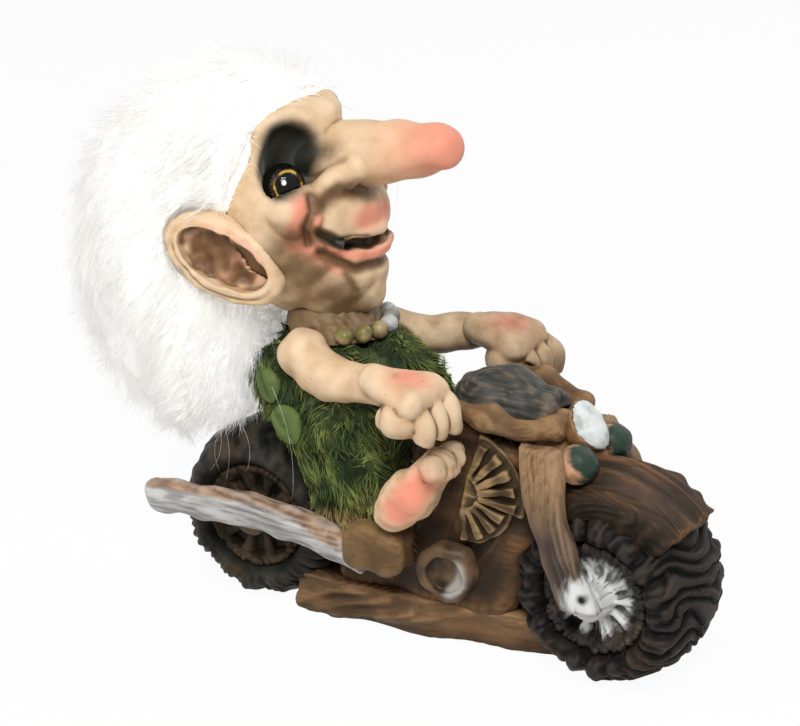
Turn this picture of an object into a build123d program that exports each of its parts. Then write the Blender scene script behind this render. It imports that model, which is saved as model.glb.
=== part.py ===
from build123d import *
import math
import os

# A troll riding a root-wood motorbike: a hand-painted cast ornament with glass eyes and a fur wig.
# Millimetres. +X is the way the bike points, +Y its left side, +Z up, with the ground at Z = 0 and
# the origin near the middle of the wheelbase.

# Wheels and balloon tyres
WHEELBASE = 116.5
REAR_AXLE_X = -57.5
TYRE_RADIUS = 28.0
TYRE_FLAT = 0.6
RIM_RADIUS = 15.5
BULGE_RADIUS = 20.0
FRONT_TYRE_WIDTH = 40.0
REAR_TYRE_WIDTH = 31.0
BEAD_INSET = 3.0
SHOULDER_DROP = 5.5
SHOULDER_INSET = 4.0
TREAD_COUNT = 15
TREAD_DEPTH = 1.5
TREAD_GROOVE = 3.0
TREAD_SLANT = 30.0
TYRE_CLEARANCE = 0.3
HUB_RADIUS = 5.5
WEB_INSET = 8.0
SPOKE_COUNT = 10
SPOKE_WIDTH = 2.2
SPOKE_RISE = 3.0

# Ground block and engine casting
PLINTH_HEIGHT = 13.0
PLINTH_SHOULDER_X = -3.0
PLINTH_REAR_WIDTH = 25.0
PLINTH_FRONT_WIDTH = 14.0
PLINTH_FLARE = 2.5
ENGINE_WIDTH = 28.0
ENGINE_ROUND = 3.5

# Front end, measured from the steering head
STEER_HEAD_X = 40.0
STEER_ANGLE = 5.0
FORK_LEG_DEPTH = 12.0
FORK_LEG_THICKNESS = 5.0
YOKE_HEIGHT = 69.0
YOKE_HALF = 13.0
BAR_RADIUS = 3.2
GRIP_BACK = 31.0
GRIP_HALF = 29.5
GRIP_LENGTH = 18.0
GRIP_RISE = 8.0
FORK_CLEARANCE = 1.4
GUARD_RISE = 8.0
GUARD_HALF_WIDTH = 17.0
GUARD_LIP = 1.0
GUARD_RIDGES = 5
GUARD_RIDGE_HEIGHT = 1.8
GUARD_REAR_ANGLE = 128.0
GUARD_ARC = 84.0
LAMP_RADIUS = 7.5
LAMP_TILT = 40.0
LENS_RISE = 2.2
SPOT_RADIUS = 5.8
SPOT_AHEAD = 9.5
SPOT_DROP = 4.8

# Engine trim
TANK_LENGTH = 34.0
TANK_RADIUS = 13.0
TANK_X = 22.0
FAN_X = 15.0
FAN_Z = 51.0
FAN_DEPTH = 4.0
FAN_PLATE = 1.6
FAN_RIB_WIDTH = 3.0
FAN_RIB_ROOT = 1.2
FAN_RIB_START = 0.3
FAN_MARGIN = 9.0
UPPER_FAN_LENGTH = 19.0
UPPER_FAN_ANGLES = (66, 48, 30, 12, -6)
LOWER_FAN_LENGTH = 16.0
LOWER_FAN_ANGLES = (-24, -44, -64, -84)
COVER_RADIUS = 9.5
COVER_DEPTH = 5.5
COVER_X = 10.0
COVER_Z = 25.0
COVER_DISH_RADIUS = 5.6
COVER_DISH_DEPTH = 2.5
PIPE_HALF_WIDTH = 4.2
PIPE_HALF_HEIGHT = 5.6
PIPE_REAR_X = -88.0
PIPE_Z = 32.5
PIPE_DROP = 5.0
PIPE_SLOPE = 0.16
PIPE_CLEARANCE = 2.4
BOARD_LENGTH = 19.0
BOARD_WIDTH = 14.0
BOARD_HEIGHT = 14.0
BOARD_X = -10.0
BOARD_Z = 31.0

# Rider's clothes and body: each dress section is (height, centre x, half length, half width)
DRESS_SECTIONS = (
    (25.0, -14.0, 15.0, 21.5),
    (42.0, -20.0, 23.0, 23.0),
    (58.0, -25.0, 28.0, 23.5),
    (74.0, -31.0, 31.0, 22.5),
    (82.0, -32.0, 25.0, 20.5),
    (88.0, -34.0, 15.0, 17.0),
)
DRESS_HANKS = 12
DRESS_HANK_DEPTH = 1.5
NECK_RADIUS = 11.0
COLLAR_LENGTH = 15.0
COLLAR_WIDTH = 16.0
BEAD_RADIUS = 2.7
BEAD_COUNT = 6
BEAD_SPREAD = 110.0
BEAD_LIFT = 0.2

# Arms and feet
SHOULDER_X = -36.0
SHOULDER_HALF = 18.0
SHOULDER_Z = 85.0
SHOULDER_RADIUS = 7.6
ELBOW_RADIUS = 6.6
WRIST_RADIUS = 5.2
HAND_THICKNESS = 9.0
FINGER_RADIUS = 3.3
FINGER_PITCH = 6.8
FINGER_GRIP = 0.3
FINGER_COUNT = 3
FINGER_ARC = 205.0
FOOT_LENGTH = 32.0
FOOT_RADIUS = 7.6
FOOT_PITCH = 50.0
FOOT_X = 4.0
FOOT_HALF = 25.0
FOOT_Z = 52.5
TOE_RADIUS = 4.2
TOE_COUNT = 3
TOE_PITCH = 6.6

# Head, in a frame tipped back with the face: x towards the nose, z to the crown
HEAD_X = -48.0
HEAD_Z = 124.0
HEAD_PITCH = 12.0
SKULL_RADIUS = 26.0
SKULL_HALF_HEIGHT = 31.0
JAW_RADIUS = 17.0
JAW_PLACE = (8.0, 0.0, -17.0)
CHIN_RADIUS = 8.5
CHIN_PLACE = (15.0, 0.0, -25.0)
MUZZLE_RADIUS = 13.5
MUZZLE_PLACE = (12.5, 0.0, -7.5)
CHEEK_RADIUS = 8.5
CHEEK_PLACE = (11.0, 18.0, 2.0)
NOSE_LENGTH = 57.5
NOSE_HEIGHT = 13.2
NOSE_ROOT_RADIUS = 10.5
NOSE_MIDDLE_RADIUS = 8.8
NOSE_TIP_RADIUS = 7.0
NOSE_MIDDLE = 0.62
WING_RADIUS = 4.0
WING_ROUND = 0.2
WING_FRONT = (27.0, 7.5, 11.0)
WING_BACK = (14.5, 12.5, 5.0)
LIP_RADIUS = 2.5
MOUTH_GAP = 2.0
MOUTH_MIDDLE = (24.3, 0.0, -12.5)
MOUTH_CORNER = (12.0, 14.5, -7.0)
SOCKET_RADIUS = 12.0
SOCKET_PLACE = (16.0, 19.0, 17.0)
EYE_RADIUS = 6.2
EYE_PLACE = (8.0, 17.5, 9.8)
IRIS_LATITUDE = 23.0
GAZE_ANGLE = 34.0
EAR_HALF_LENGTH = 19.0
EAR_HALF_WIDTH = 11.5
EAR_THICKNESS = 10.0
EAR_PLACE = (-9.0, 31.0, -8.0)
EAR_TILT = -40.0
EAR_YAW = 20.0
EAR_RIM = 4.5
EAR_ROUND = 3.4
EAR_BOWL_DEPTH = 5.0

# Wig of long fur on a leather skin: sections as for the dress
WIG_SECTIONS = (
    (52.0, -84.0, 9.0, 9.0),
    (62.0, -82.0, 22.0, 22.0),
    (82.0, -85.0, 32.0, 31.0),
    (105.0, -85.0, 36.0, 36.0),
    (125.0, -82.0, 37.0, 36.0),
    (145.0, -74.0, 34.0, 32.0),
    (158.0, -68.0, 24.0, 22.0),
    (165.0, -66.0, 10.0, 10.0),
)
HAIRLINE_AHEAD = 7.5
HAIRLINE_ANGLE = 20.0
HAIRLINE_LENGTH = 50.0
SKIN_THICKNESS = 1.2


# Working frames
axle_height = TYRE_RADIUS - TYRE_FLAT
engine_top = YOKE_HEIGHT
grip_height = YOKE_HEIGHT + GRIP_RISE
steer = math.radians(STEER_ANGLE)
steer_frame = Plane(
    (STEER_HEAD_X, 0, 0), x_dir=(math.cos(steer), -math.sin(steer), 0), z_dir=(0, 0, 1)
)
front_axle_x = REAR_AXLE_X + WHEELBASE
axle_ahead = front_axle_x - STEER_HEAD_X
front_axle = Plane(
    steer_frame.from_local_coords((axle_ahead, 0, axle_height)), x_dir=steer_frame.x_dir, z_dir=(0, 0, 1)
)
rear_axle = Plane((REAR_AXLE_X, 0, axle_height))
pitch = math.radians(HEAD_PITCH)
head_frame = Plane(
    (HEAD_X, 0, HEAD_Z),
    x_dir=(math.cos(pitch), 0, math.sin(pitch)),
    z_dir=(-math.sin(pitch), 0, math.cos(pitch)),
)
SIDES = {"right": -1, "left": 1}
EGG_FLANK = math.sqrt(0.5)


def front_point(x, y, z):
    """A point given from the steering head, in the steered frame."""
    return steer_frame.from_local_coords((x, y, z))


def head_point(place, side=1, lift=0.0):
    """A place given in the tipped frame of the head, on one side and lifted towards the crown."""
    x, y, z = place
    return head_frame.from_local_coords((x, side * y, z + lift))


def egg(frame, across, along):
    """A solid egg of revolution about the frame's z axis, centred on its origin."""
    with BuildPart() as body:
        with BuildSketch(Plane(frame.origin, x_dir=frame.x_dir, z_dir=-frame.y_dir)):
            with BuildLine():
                Spline(
                    (0, -along),
                    (across * EGG_FLANK, -along * EGG_FLANK),
                    (across, 0),
                    (across * EGG_FLANK, along * EGG_FLANK),
                    (0, along),
                    tangents=((1, 0), (-1, 0)),
                )
                Line((0, along), (0, -along))
            make_face()
        revolve(axis=Axis(frame.origin, frame.z_dir))
    return body.part


def ball_slice(frame, radius, low, high):
    """The slice of a ball about the frame's origin between two latitudes, in degrees."""
    with BuildPart() as body:
        with Locations(frame.location):
            Sphere(radius, arc_size1=low, arc_size2=high, align=None)
    return body.part


def ball(centre, radius):
    """A solid ball about a point."""
    with BuildPart() as body:
        with Locations(centre):
            Sphere(radius)
    return body.part


# Tyres and spoked wheels
def tyre_ring(axle, width, clearance=0.0):
    """The smooth ring of a balloon tyre, before its tread is cut, or what stays clear round it."""
    half = width / 2 + clearance
    bead, shoulder = half - BEAD_INSET, half - SHOULDER_INSET
    crown = TYRE_RADIUS + clearance
    with BuildPart() as ring:
        with BuildSketch(axle):
            with BuildLine():
                ThreePointArc((RIM_RADIUS, -bead), (BULGE_RADIUS, -half), (crown - SHOULDER_DROP, -shoulder))
                ThreePointArc(
                    (crown - SHOULDER_DROP, -shoulder), (crown, 0), (crown - SHOULDER_DROP, shoulder)
                )
                ThreePointArc((crown - SHOULDER_DROP, shoulder), (BULGE_RADIUS, half), (RIM_RADIUS, bead))
                Line((RIM_RADIUS, bead), (RIM_RADIUS, -bead))
            make_face()
        revolve(axis=Axis(axle.origin, axle.y_dir))
        split(bisect_by=Plane.XY)
    return ring.part


def tread_grooves(axle, width):
    """Where each slanting groove of the tread is cut, on both halves of the crown."""
    spots = []
    for turn in range(TREAD_COUNT):
        for side in SIDES.values():
            angle = 360 * (turn + 0.25 * side) / TREAD_COUNT
            spots.append(
                axle.location
                * Rot(0, angle, 0)
                * Pos(TYRE_RADIUS, side * width / 4, 0)
                * Rot(side * TREAD_SLANT, 0, 0)
            )
    return spots


def tyre(axle, width):
    with BuildPart() as body:
        add(tyre_ring(axle, width))
        with Locations(*tread_grooves(axle, width)):
            Box(2 * TREAD_DEPTH, width / 2, TREAD_GROOVE, mode=Mode.SUBTRACT)
    return body


def spoked_wheel(axle, width, hub_width):
    """A dished disc that fills the tyre's bore, with a hub and raised spokes on both faces."""
    bead, web = width / 2 - BEAD_INSET, width / 2 - WEB_INSET
    hub = hub_width / 2
    with BuildPart() as body:
        with BuildSketch(axle):
            with BuildLine():
                Polyline(
                    (0, -hub), (HUB_RADIUS, -hub), (HUB_RADIUS, -web),
                    (RIM_RADIUS - SPOKE_WIDTH, -web), (RIM_RADIUS, -bead), (RIM_RADIUS, bead),
                    (RIM_RADIUS - SPOKE_WIDTH, web), (HUB_RADIUS, web), (HUB_RADIUS, hub), (0, hub),
                    close=True,
                )
            make_face()
        revolve(axis=Axis(axle.origin, axle.y_dir))
        for side in SIDES.values():
            face = Plane(
                axle.from_local_coords((0, side * web, 0)), x_dir=axle.x_dir, z_dir=axle.y_dir * side
            )
            with BuildSketch(face):
                with PolarLocations((HUB_RADIUS + RIM_RADIUS) / 2, SPOKE_COUNT):
                    Rectangle(RIM_RADIUS - HUB_RADIUS - SPOKE_WIDTH / 2, SPOKE_WIDTH)
            extrude(amount=SPOKE_RISE)
    return body


fork_inner = FRONT_TYRE_WIDTH / 2 + FORK_CLEARANCE
rear_ring = tyre_ring(rear_axle, REAR_TYRE_WIDTH)
front_ring = tyre_ring(front_axle, FRONT_TYRE_WIDTH)
rear_tyre = tyre(rear_axle, REAR_TYRE_WIDTH)
front_tyre = tyre(front_axle, FRONT_TYRE_WIDTH)
rear_wheel = spoked_wheel(rear_axle, REAR_TYRE_WIDTH, REAR_TYRE_WIDTH)
front_wheel = spoked_wheel(front_axle, FRONT_TYRE_WIDTH, 2 * fork_inner)

# Ground block between the tyres, flat underneath and narrower towards the front
plinth_rear, plinth_front = REAR_AXLE_X + TYRE_RADIUS / 2, front_axle_x - TYRE_RADIUS / 2


def plinth_outline(flare):
    """The block's outline from above, wider by a flare on each side."""
    rear, front = PLINTH_REAR_WIDTH / 2 + flare, PLINTH_FRONT_WIDTH / 2 + flare
    return Polygon(
        (plinth_rear, -rear), (PLINTH_SHOULDER_X, -rear), (plinth_front, -front),
        (plinth_front, front), (PLINTH_SHOULDER_X, rear), (plinth_rear, rear),
        align=None,
    )


with BuildPart() as base_plinth:
    with BuildSketch():
        plinth_outline(0)
    with BuildSketch(Plane.XY.offset(PLINTH_HEIGHT)):
        plinth_outline(PLINTH_FLARE)
    loft()
    add(rear_ring, mode=Mode.SUBTRACT)
    add(front_ring, mode=Mode.SUBTRACT)

# Engine and frame, one casting that carries the rider
engine_rear = REAR_AXLE_X + TYRE_RADIUS
engine_front = STEER_HEAD_X - FORK_LEG_DEPTH
with BuildPart() as engine_block:
    with BuildSketch(Plane.XZ):
        with BuildLine():
            Polyline(
                (engine_rear, PLINTH_HEIGHT),
                (engine_front - FORK_LEG_DEPTH, PLINTH_HEIGHT),
                (engine_front - FORK_LEG_THICKNESS, axle_height + RIM_RADIUS),
                (STEER_HEAD_X - 2 * BAR_RADIUS, YOKE_HEIGHT - 2 * BAR_RADIUS),
                (TANK_X, engine_top),
                (FAN_X - UPPER_FAN_LENGTH, engine_top),
                (engine_rear, FAN_Z),
                close=True,
            )
        make_face()
        fillet(vertices(), ENGINE_ROUND)
    extrude(amount=ENGINE_WIDTH / 2, both=True)
    fillet(faces().filter_by(Axis.Y).edges(), ENGINE_ROUND)
    add(rear_ring, mode=Mode.SUBTRACT)
    add(front_ring, mode=Mode.SUBTRACT)
    add(base_plinth.part, mode=Mode.SUBTRACT)

# Mudguard lying on the crown of the front tyre, ridged along its length
guard_crown = []
for step in range(2 * GUARD_RIDGES + 1):
    across = step / GUARD_RIDGES - 1
    bulge = (GUARD_RISE + GUARD_LIP) * (1 - across**2) + GUARD_RIDGE_HEIGHT * (step % 2 - 0.5)
    guard_crown.append((TYRE_RADIUS - GUARD_LIP + bulge, across * GUARD_HALF_WIDTH))
with BuildPart() as front_mudguard:
    with BuildSketch(Plane(front_axle.location * Rot(0, -GUARD_REAR_ANGLE, 0))):
        with BuildLine():
            Spline(*guard_crown)
            Polyline(
                guard_crown[-1], (BULGE_RADIUS, GUARD_HALF_WIDTH),
                (BULGE_RADIUS, -GUARD_HALF_WIDTH), guard_crown[0],
            )
        make_face()
    revolve(axis=Axis(front_axle.origin, front_axle.y_dir), revolution_arc=GUARD_ARC)
    add(tyre_ring(front_axle, FRONT_TYRE_WIDTH, TYRE_CLEARANCE), mode=Mode.SUBTRACT)


# Fork legs, from the yoke down outside the guard to the hub
def fork_leg(side):
    stations = (
        (0, YOKE_HEIGHT, YOKE_HALF + FORK_LEG_THICKNESS / 2, FORK_LEG_DEPTH),
        (axle_ahead / 2, axle_height + BULGE_RADIUS, fork_inner + FORK_LEG_THICKNESS / 2, FORK_LEG_DEPTH),
        (axle_ahead, axle_height, fork_inner + FORK_LEG_THICKNESS / 2, 2 * HUB_RADIUS),
    )
    with BuildPart() as body:
        for x, z, half, depth in stations:
            centre = front_point(x, side * half, z)
            with BuildSketch(Plane(centre, x_dir=steer_frame.x_dir, z_dir=(0, 0, 1))):
                RectangleRounded(depth, FORK_LEG_THICKNESS, FORK_LEG_THICKNESS / 3)
        loft()
        add(front_mudguard.part, mode=Mode.SUBTRACT)
        add(front_tyre.part, mode=Mode.SUBTRACT)
        add(front_wheel.part, mode=Mode.SUBTRACT)
        add(engine_block.part, mode=Mode.SUBTRACT)
    return body


fork_legs = {name: fork_leg(side) for name, side in SIDES.items()}

# Handlebar, a bent root swept back to the two grips
with BuildPart() as handlebar:
    with BuildLine():
        FilletPolyline(
            front_point(-GRIP_BACK, -GRIP_HALF - GRIP_LENGTH / 2, grip_height),
            front_point(-GRIP_BACK, -GRIP_HALF + GRIP_LENGTH / 2, grip_height),
            front_point(0, -YOKE_HALF, YOKE_HEIGHT + BAR_RADIUS),
            front_point(0, YOKE_HALF, YOKE_HEIGHT + BAR_RADIUS),
            front_point(-GRIP_BACK, GRIP_HALF - GRIP_LENGTH / 2, grip_height),
            front_point(-GRIP_BACK, GRIP_HALF + GRIP_LENGTH / 2, grip_height),
            radius=BAR_RADIUS + FINGER_RADIUS,
        )
    with BuildSketch(
        Plane(
            front_point(-GRIP_BACK, -GRIP_HALF - GRIP_LENGTH / 2, grip_height), z_dir=steer_frame.y_dir
        )
    ):
        Circle(BAR_RADIUS)
    sweep()
    for leg in fork_legs.values():
        add(leg.part, mode=Mode.SUBTRACT)
    add(engine_block.part, mode=Mode.SUBTRACT)

# Fuel tank, a teardrop lying on the engine behind the bar
with BuildPart() as fuel_tank:
    add(egg(Plane((TANK_X, 0, engine_top + BAR_RADIUS), z_dir=(1, 0, 0)), TANK_RADIUS, TANK_LENGTH / 2))
    add(engine_block.part, mode=Mode.SUBTRACT)
    add(handlebar.part, mode=Mode.SUBTRACT)
    split(bisect_by=Plane.XY.offset(engine_top - BAR_RADIUS))

# Headlamp: a cup with a domed lens, tipped up in front of the bar
lamp_tilt = math.radians(LAMP_TILT)
lamp_axis = steer_frame.x_dir * math.cos(lamp_tilt) + Vector(0, 0, math.sin(lamp_tilt))
lamp_frame = Plane(
    front_point(LAMP_RADIUS, 0, YOKE_HEIGHT + BAR_RADIUS), x_dir=steer_frame.y_dir, z_dir=lamp_axis
)
with BuildPart() as headlamp_cup:
    add(ball_slice(lamp_frame, LAMP_RADIUS, -90, 0))
    add(handlebar.part, mode=Mode.SUBTRACT)
lens_radius = (LAMP_RADIUS**2 + LENS_RISE**2) / (2 * LENS_RISE)
lens_edge = math.degrees(math.acos(LAMP_RADIUS / lens_radius))
with BuildPart() as headlamp_lens:
    add(ball_slice(lamp_frame.offset(LENS_RISE - lens_radius), lens_radius, lens_edge, 90))


# Spot lamps, one each side under the headlamp
def spot_lamp(side):
    frame = Plane(
        front_point(SPOT_AHEAD, side * (YOKE_HALF - SPOT_RADIUS / 2), YOKE_HEIGHT - SPOT_DROP),
        z_dir=steer_frame.x_dir,
    )
    with BuildPart() as body:
        add(ball_slice(frame, SPOT_RADIUS, -90, 90))
        for neighbour in (*fork_legs.values(), handlebar, headlamp_cup, front_mudguard, engine_block):
            add(neighbour.part, mode=Mode.SUBTRACT)
    return body


spot_lamps = {name: spot_lamp(side) for name, side in SIDES.items()}


# Cooling fans of ribs on each side of the engine
def rib_fan(side, angles, length):
    """A thin wedge with tapered ribs standing on it, spread from a point on the engine's side."""
    face = Plane(
        (FAN_X, side * ENGINE_WIDTH / 2, FAN_Z), x_dir=(-side, 0, 0), z_dir=(0, side, 0)
    )
    turns = [angle if side < 0 else 180 - angle for angle in angles]
    low, high = min(turns) - FAN_MARGIN, max(turns) + FAN_MARGIN
    with BuildPart() as body:
        with BuildSketch(face):
            with BuildLine():
                rim = CenterArc((0, 0), length, low, high - low)
                Line((0, 0), rim @ 0)
                Line(rim @ 1, (0, 0))
            make_face()
        extrude(amount=FAN_PLATE)
        with BuildSketch(face):
            for turn in turns:
                with Locations(Location((0, 0, 0), (0, 0, turn))):
                    Polygon(
                        (length * FAN_RIB_START, -FAN_RIB_ROOT / 2),
                        (length - FAN_PLATE, -FAN_RIB_WIDTH / 2),
                        (length - FAN_PLATE, FAN_RIB_WIDTH / 2),
                        (length * FAN_RIB_START, FAN_RIB_ROOT / 2),
                        align=None,
                    )
        extrude(amount=FAN_DEPTH)
    return body


upper_fans = {name: rib_fan(side, UPPER_FAN_ANGLES, UPPER_FAN_LENGTH) for name, side in SIDES.items()}
lower_fans = {name: rib_fan(side, LOWER_FAN_ANGLES, LOWER_FAN_LENGTH) for name, side in SIDES.items()}


# Round covers low on each side of the engine, dished in the middle
def engine_cover(side):
    face = Plane(
        (COVER_X, side * ENGINE_WIDTH / 2, COVER_Z), x_dir=(-side, 0, 0), z_dir=(0, side, 0)
    )
    with BuildPart() as body:
        with BuildSketch(face):
            Circle(COVER_RADIUS)
        extrude(amount=COVER_DEPTH)
        fillet(faces().sort_by(Axis.Y)[-1 if side > 0 else 0].edges(), COVER_DISH_DEPTH)
        with BuildSketch(face.offset(COVER_DEPTH)):
            Circle(COVER_DISH_RADIUS)
        extrude(amount=-COVER_DISH_DEPTH, mode=Mode.SUBTRACT)
    return body


engine_covers = {name: engine_cover(side) for name, side in SIDES.items()}


# Dress over trunk and legs, astride the engine, its moss combed down in thick hanks
def hanked_rim(half_length, half_width):
    """Points round an oval that swells at each hank and dips between them."""
    rim = []
    for step in range(2 * DRESS_HANKS):
        turn = math.pi * step / DRESS_HANKS
        swell = DRESS_HANK_DEPTH * (1 - 2 * (step % 2))
        rim.append(((half_length + swell) * math.cos(turn), (half_width + swell) * math.sin(turn)))
    return rim


with BuildPart() as moss_dress:
    for height, centre, half_length, half_width in DRESS_SECTIONS:
        with BuildSketch(Plane((centre, 0, height))):
            with BuildLine():
                Spline(*hanked_rim(half_length, half_width), periodic=True)
            make_face()
    loft()
    with Locations(rear_axle.origin):
        Cylinder(
            TYRE_RADIUS + TYRE_CLEARANCE, REAR_TYRE_WIDTH + 2 * TYRE_CLEARANCE,
            rotation=(90, 0, 0), mode=Mode.SUBTRACT,
        )
    for tool in (engine_block, fuel_tank):
        add(tool.part, mode=Mode.SUBTRACT)
    for group in (upper_fans, lower_fans, engine_covers):
        for piece in group.values():
            add(piece.part, mode=Mode.SUBTRACT)


# Footboards, rounded blocks under the heels
def footboard(side):
    with BuildPart() as body:
        with Locations((BOARD_X, side * (ENGINE_WIDTH + BOARD_WIDTH) / 2, BOARD_Z)):
            Box(BOARD_LENGTH, BOARD_WIDTH, BOARD_HEIGHT)
        fillet(edges(), ENGINE_ROUND)
        for piece in (engine_block, moss_dress, *engine_covers.values()):
            add(piece.part, mode=Mode.SUBTRACT)
    return body


footboards = {name: footboard(side) for name, side in SIDES.items()}

# Exhaust pipe along the right side, outside the rear tyre
pipe_y = -(REAR_TYRE_WIDTH / 2 + PIPE_CLEARANCE + PIPE_HALF_WIDTH)
pipe_front = (BOARD_X - BOARD_LENGTH / 4, pipe_y, PIPE_Z - PIPE_DROP)
with BuildPart() as exhaust_pipe:
    with BuildLine():
        Spline(
            pipe_front,
            (REAR_AXLE_X + RIM_RADIUS, pipe_y, PIPE_Z),
            (PIPE_REAR_X, pipe_y, PIPE_Z),
            tangents=((-1, 0, PIPE_SLOPE), (-1, 0, 0)),
        )
    with BuildSketch(Plane(pipe_front, x_dir=(0, 1, 0), z_dir=(-1, 0, 0))):
        Ellipse(PIPE_HALF_WIDTH, PIPE_HALF_HEIGHT)
    sweep()
    fillet(faces().sort_by(Axis.X)[0].edges(), PIPE_HALF_WIDTH / 3)
    for piece in (moss_dress, footboards["right"]):
        add(piece.part, mode=Mode.SUBTRACT)


# Glass eyes: a clear front on a painted back, both parts of one ball
def eye_frame(side):
    gaze = math.radians(GAZE_ANGLE)
    aim = head_frame.x_dir * math.cos(gaze) + head_frame.y_dir * (side * math.sin(gaze))
    return Plane(head_point(EYE_PLACE, side), x_dir=head_frame.z_dir, z_dir=aim)


def eye(side, low, high):
    """The slice of one eye ball between two latitudes about its gaze."""
    with BuildPart() as body:
        add(ball_slice(eye_frame(side), EYE_RADIUS, low, high))
    return body


eye_fronts = {name: eye(side, IRIS_LATITUDE, 90) for name, side in SIDES.items()}
eye_backs = {name: eye(side, -90, IRIS_LATITUDE) for name, side in SIDES.items()}


# Head: skull, jaw, cheeks and nose in one casting, with the eye sockets sunk and the mouth cut
def mouth_tube(lift, radius):
    """A round tube along the smile, lifted or lowered from the mouth line."""
    corner = head_point(MOUTH_CORNER, 1, lift)
    with BuildPart() as body:
        with BuildLine() as smile:
            ThreePointArc(corner, head_point(MOUTH_MIDDLE, 1, lift), head_point(MOUTH_CORNER, -1, lift))
        with BuildSketch(Plane(corner, z_dir=smile.line % 0)):
            Circle(radius)
        sweep()
    return body.part


def nose_wing(side):
    """The fold that flares from the side of the nose down to the cheek."""
    front, back = head_point(WING_FRONT, side), head_point(WING_BACK, side)
    with BuildPart() as body:
        with Locations(Plane(front, z_dir=back - front).location):
            Cylinder(WING_RADIUS, (back - front).length, align=(Align.CENTER, Align.CENTER, Align.MIN))
        add(ball(front, WING_RADIUS + WING_ROUND))
        add(ball(back, WING_RADIUS + WING_ROUND))
    return body.part


nose_root = head_point((0, 0, NOSE_HEIGHT))
with BuildPart() as head:
    add(egg(head_frame, SKULL_RADIUS, SKULL_HALF_HEIGHT))
    add(ball(head_point(JAW_PLACE), JAW_RADIUS))
    add(ball(head_point(MUZZLE_PLACE), MUZZLE_RADIUS))
    add(ball(head_point(CHIN_PLACE), CHIN_RADIUS))
    for side in SIDES.values():
        add(ball(head_point(SOCKET_PLACE, side), SOCKET_RADIUS), mode=Mode.SUBTRACT)
    for side in SIDES.values():
        add(ball(head_point(CHEEK_PLACE, side), CHEEK_RADIUS))
        add(nose_wing(side))
    with BuildSketch(Plane(nose_root, x_dir=head_frame.x_dir, z_dir=-head_frame.y_dir)):
        with BuildLine():
            Polyline((NOSE_LENGTH, 0), (0, 0), (0, NOSE_ROOT_RADIUS))
            Spline(
                (0, NOSE_ROOT_RADIUS),
                (NOSE_LENGTH * NOSE_MIDDLE, NOSE_MIDDLE_RADIUS),
                (NOSE_LENGTH - NOSE_TIP_RADIUS, NOSE_TIP_RADIUS),
            )
            CenterArc((NOSE_LENGTH - NOSE_TIP_RADIUS, 0), NOSE_TIP_RADIUS, 90, -90)
        make_face()
    revolve(axis=Axis(nose_root, head_frame.x_dir))
    add(mouth_tube(LIP_RADIUS + MOUTH_GAP / 2, LIP_RADIUS))
    add(mouth_tube(-LIP_RADIUS - MOUTH_GAP / 2, LIP_RADIUS))
    add(mouth_tube(0, MOUTH_GAP), mode=Mode.SUBTRACT)
    for side in SIDES.values():
        add(ball(head_point(EYE_PLACE, side), EYE_RADIUS), mode=Mode.SUBTRACT)


# Ears: thick rolled rims round a sunk bowl
def ear_face(side):
    """The flat outer face of one ear, with x along its length towards the lobe."""
    yaw = math.radians(EAR_YAW)
    tilt = math.radians(EAR_TILT)
    outward = head_frame.y_dir * (side * math.cos(yaw)) + head_frame.x_dir * math.sin(yaw)
    ahead = head_frame.x_dir * math.cos(yaw) - head_frame.y_dir * (side * math.sin(yaw))
    along = ahead * math.cos(tilt) + head_frame.z_dir * math.sin(tilt)
    return Plane(head_point(EAR_PLACE, side), x_dir=along, z_dir=outward)


def ear_blank(side):
    """One ear before its bowl is sunk."""
    with BuildPart() as body:
        with BuildSketch(ear_face(side)):
            Ellipse(EAR_HALF_LENGTH, EAR_HALF_WIDTH)
        extrude(amount=-EAR_THICKNESS)
        fillet(edges(), EAR_ROUND)
    return body.part


def ear(side, blank):
    with BuildPart() as body:
        add(blank)
        with BuildSketch(ear_face(side)):
            Ellipse(EAR_HALF_LENGTH - EAR_RIM, EAR_HALF_WIDTH - EAR_RIM)
        extrude(amount=-EAR_BOWL_DEPTH, mode=Mode.SUBTRACT)
        add(head.part, mode=Mode.SUBTRACT)
    return body


ear_blanks = {name: ear_blank(side) for name, side in SIDES.items()}
ears = {name: ear(side, ear_blanks[name]) for name, side in SIDES.items()}

# Necklace of round beads, half sunk in the collar of the bust
collar_height = DRESS_SECTIONS[-1][0]
with BuildPart() as necklace_beads:
    for number in range(BEAD_COUNT):
        turn = math.radians((number / (BEAD_COUNT - 1) - 0.5) * BEAD_SPREAD)
        spot = (
            DRESS_SECTIONS[-1][1] + COLLAR_LENGTH * math.cos(turn),
            COLLAR_WIDTH * math.sin(turn),
            collar_height + BEAD_RADIUS + BEAD_LIFT,
        )
        add(ball(spot, BEAD_RADIUS))

# Bust: bare neck and shoulders between dress and jaw, under the head
with BuildPart() as bust:
    with BuildSketch(Plane((DRESS_SECTIONS[-1][1], 0, collar_height))):
        Ellipse(COLLAR_LENGTH, COLLAR_WIDTH)
    with BuildSketch(Plane((HEAD_X + CHIN_RADIUS, 0, collar_height + NECK_RADIUS))):
        Circle(NECK_RADIUS)
    loft()
    add(head.part, mode=Mode.SUBTRACT)
    add(necklace_beads.part, mode=Mode.SUBTRACT)


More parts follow.
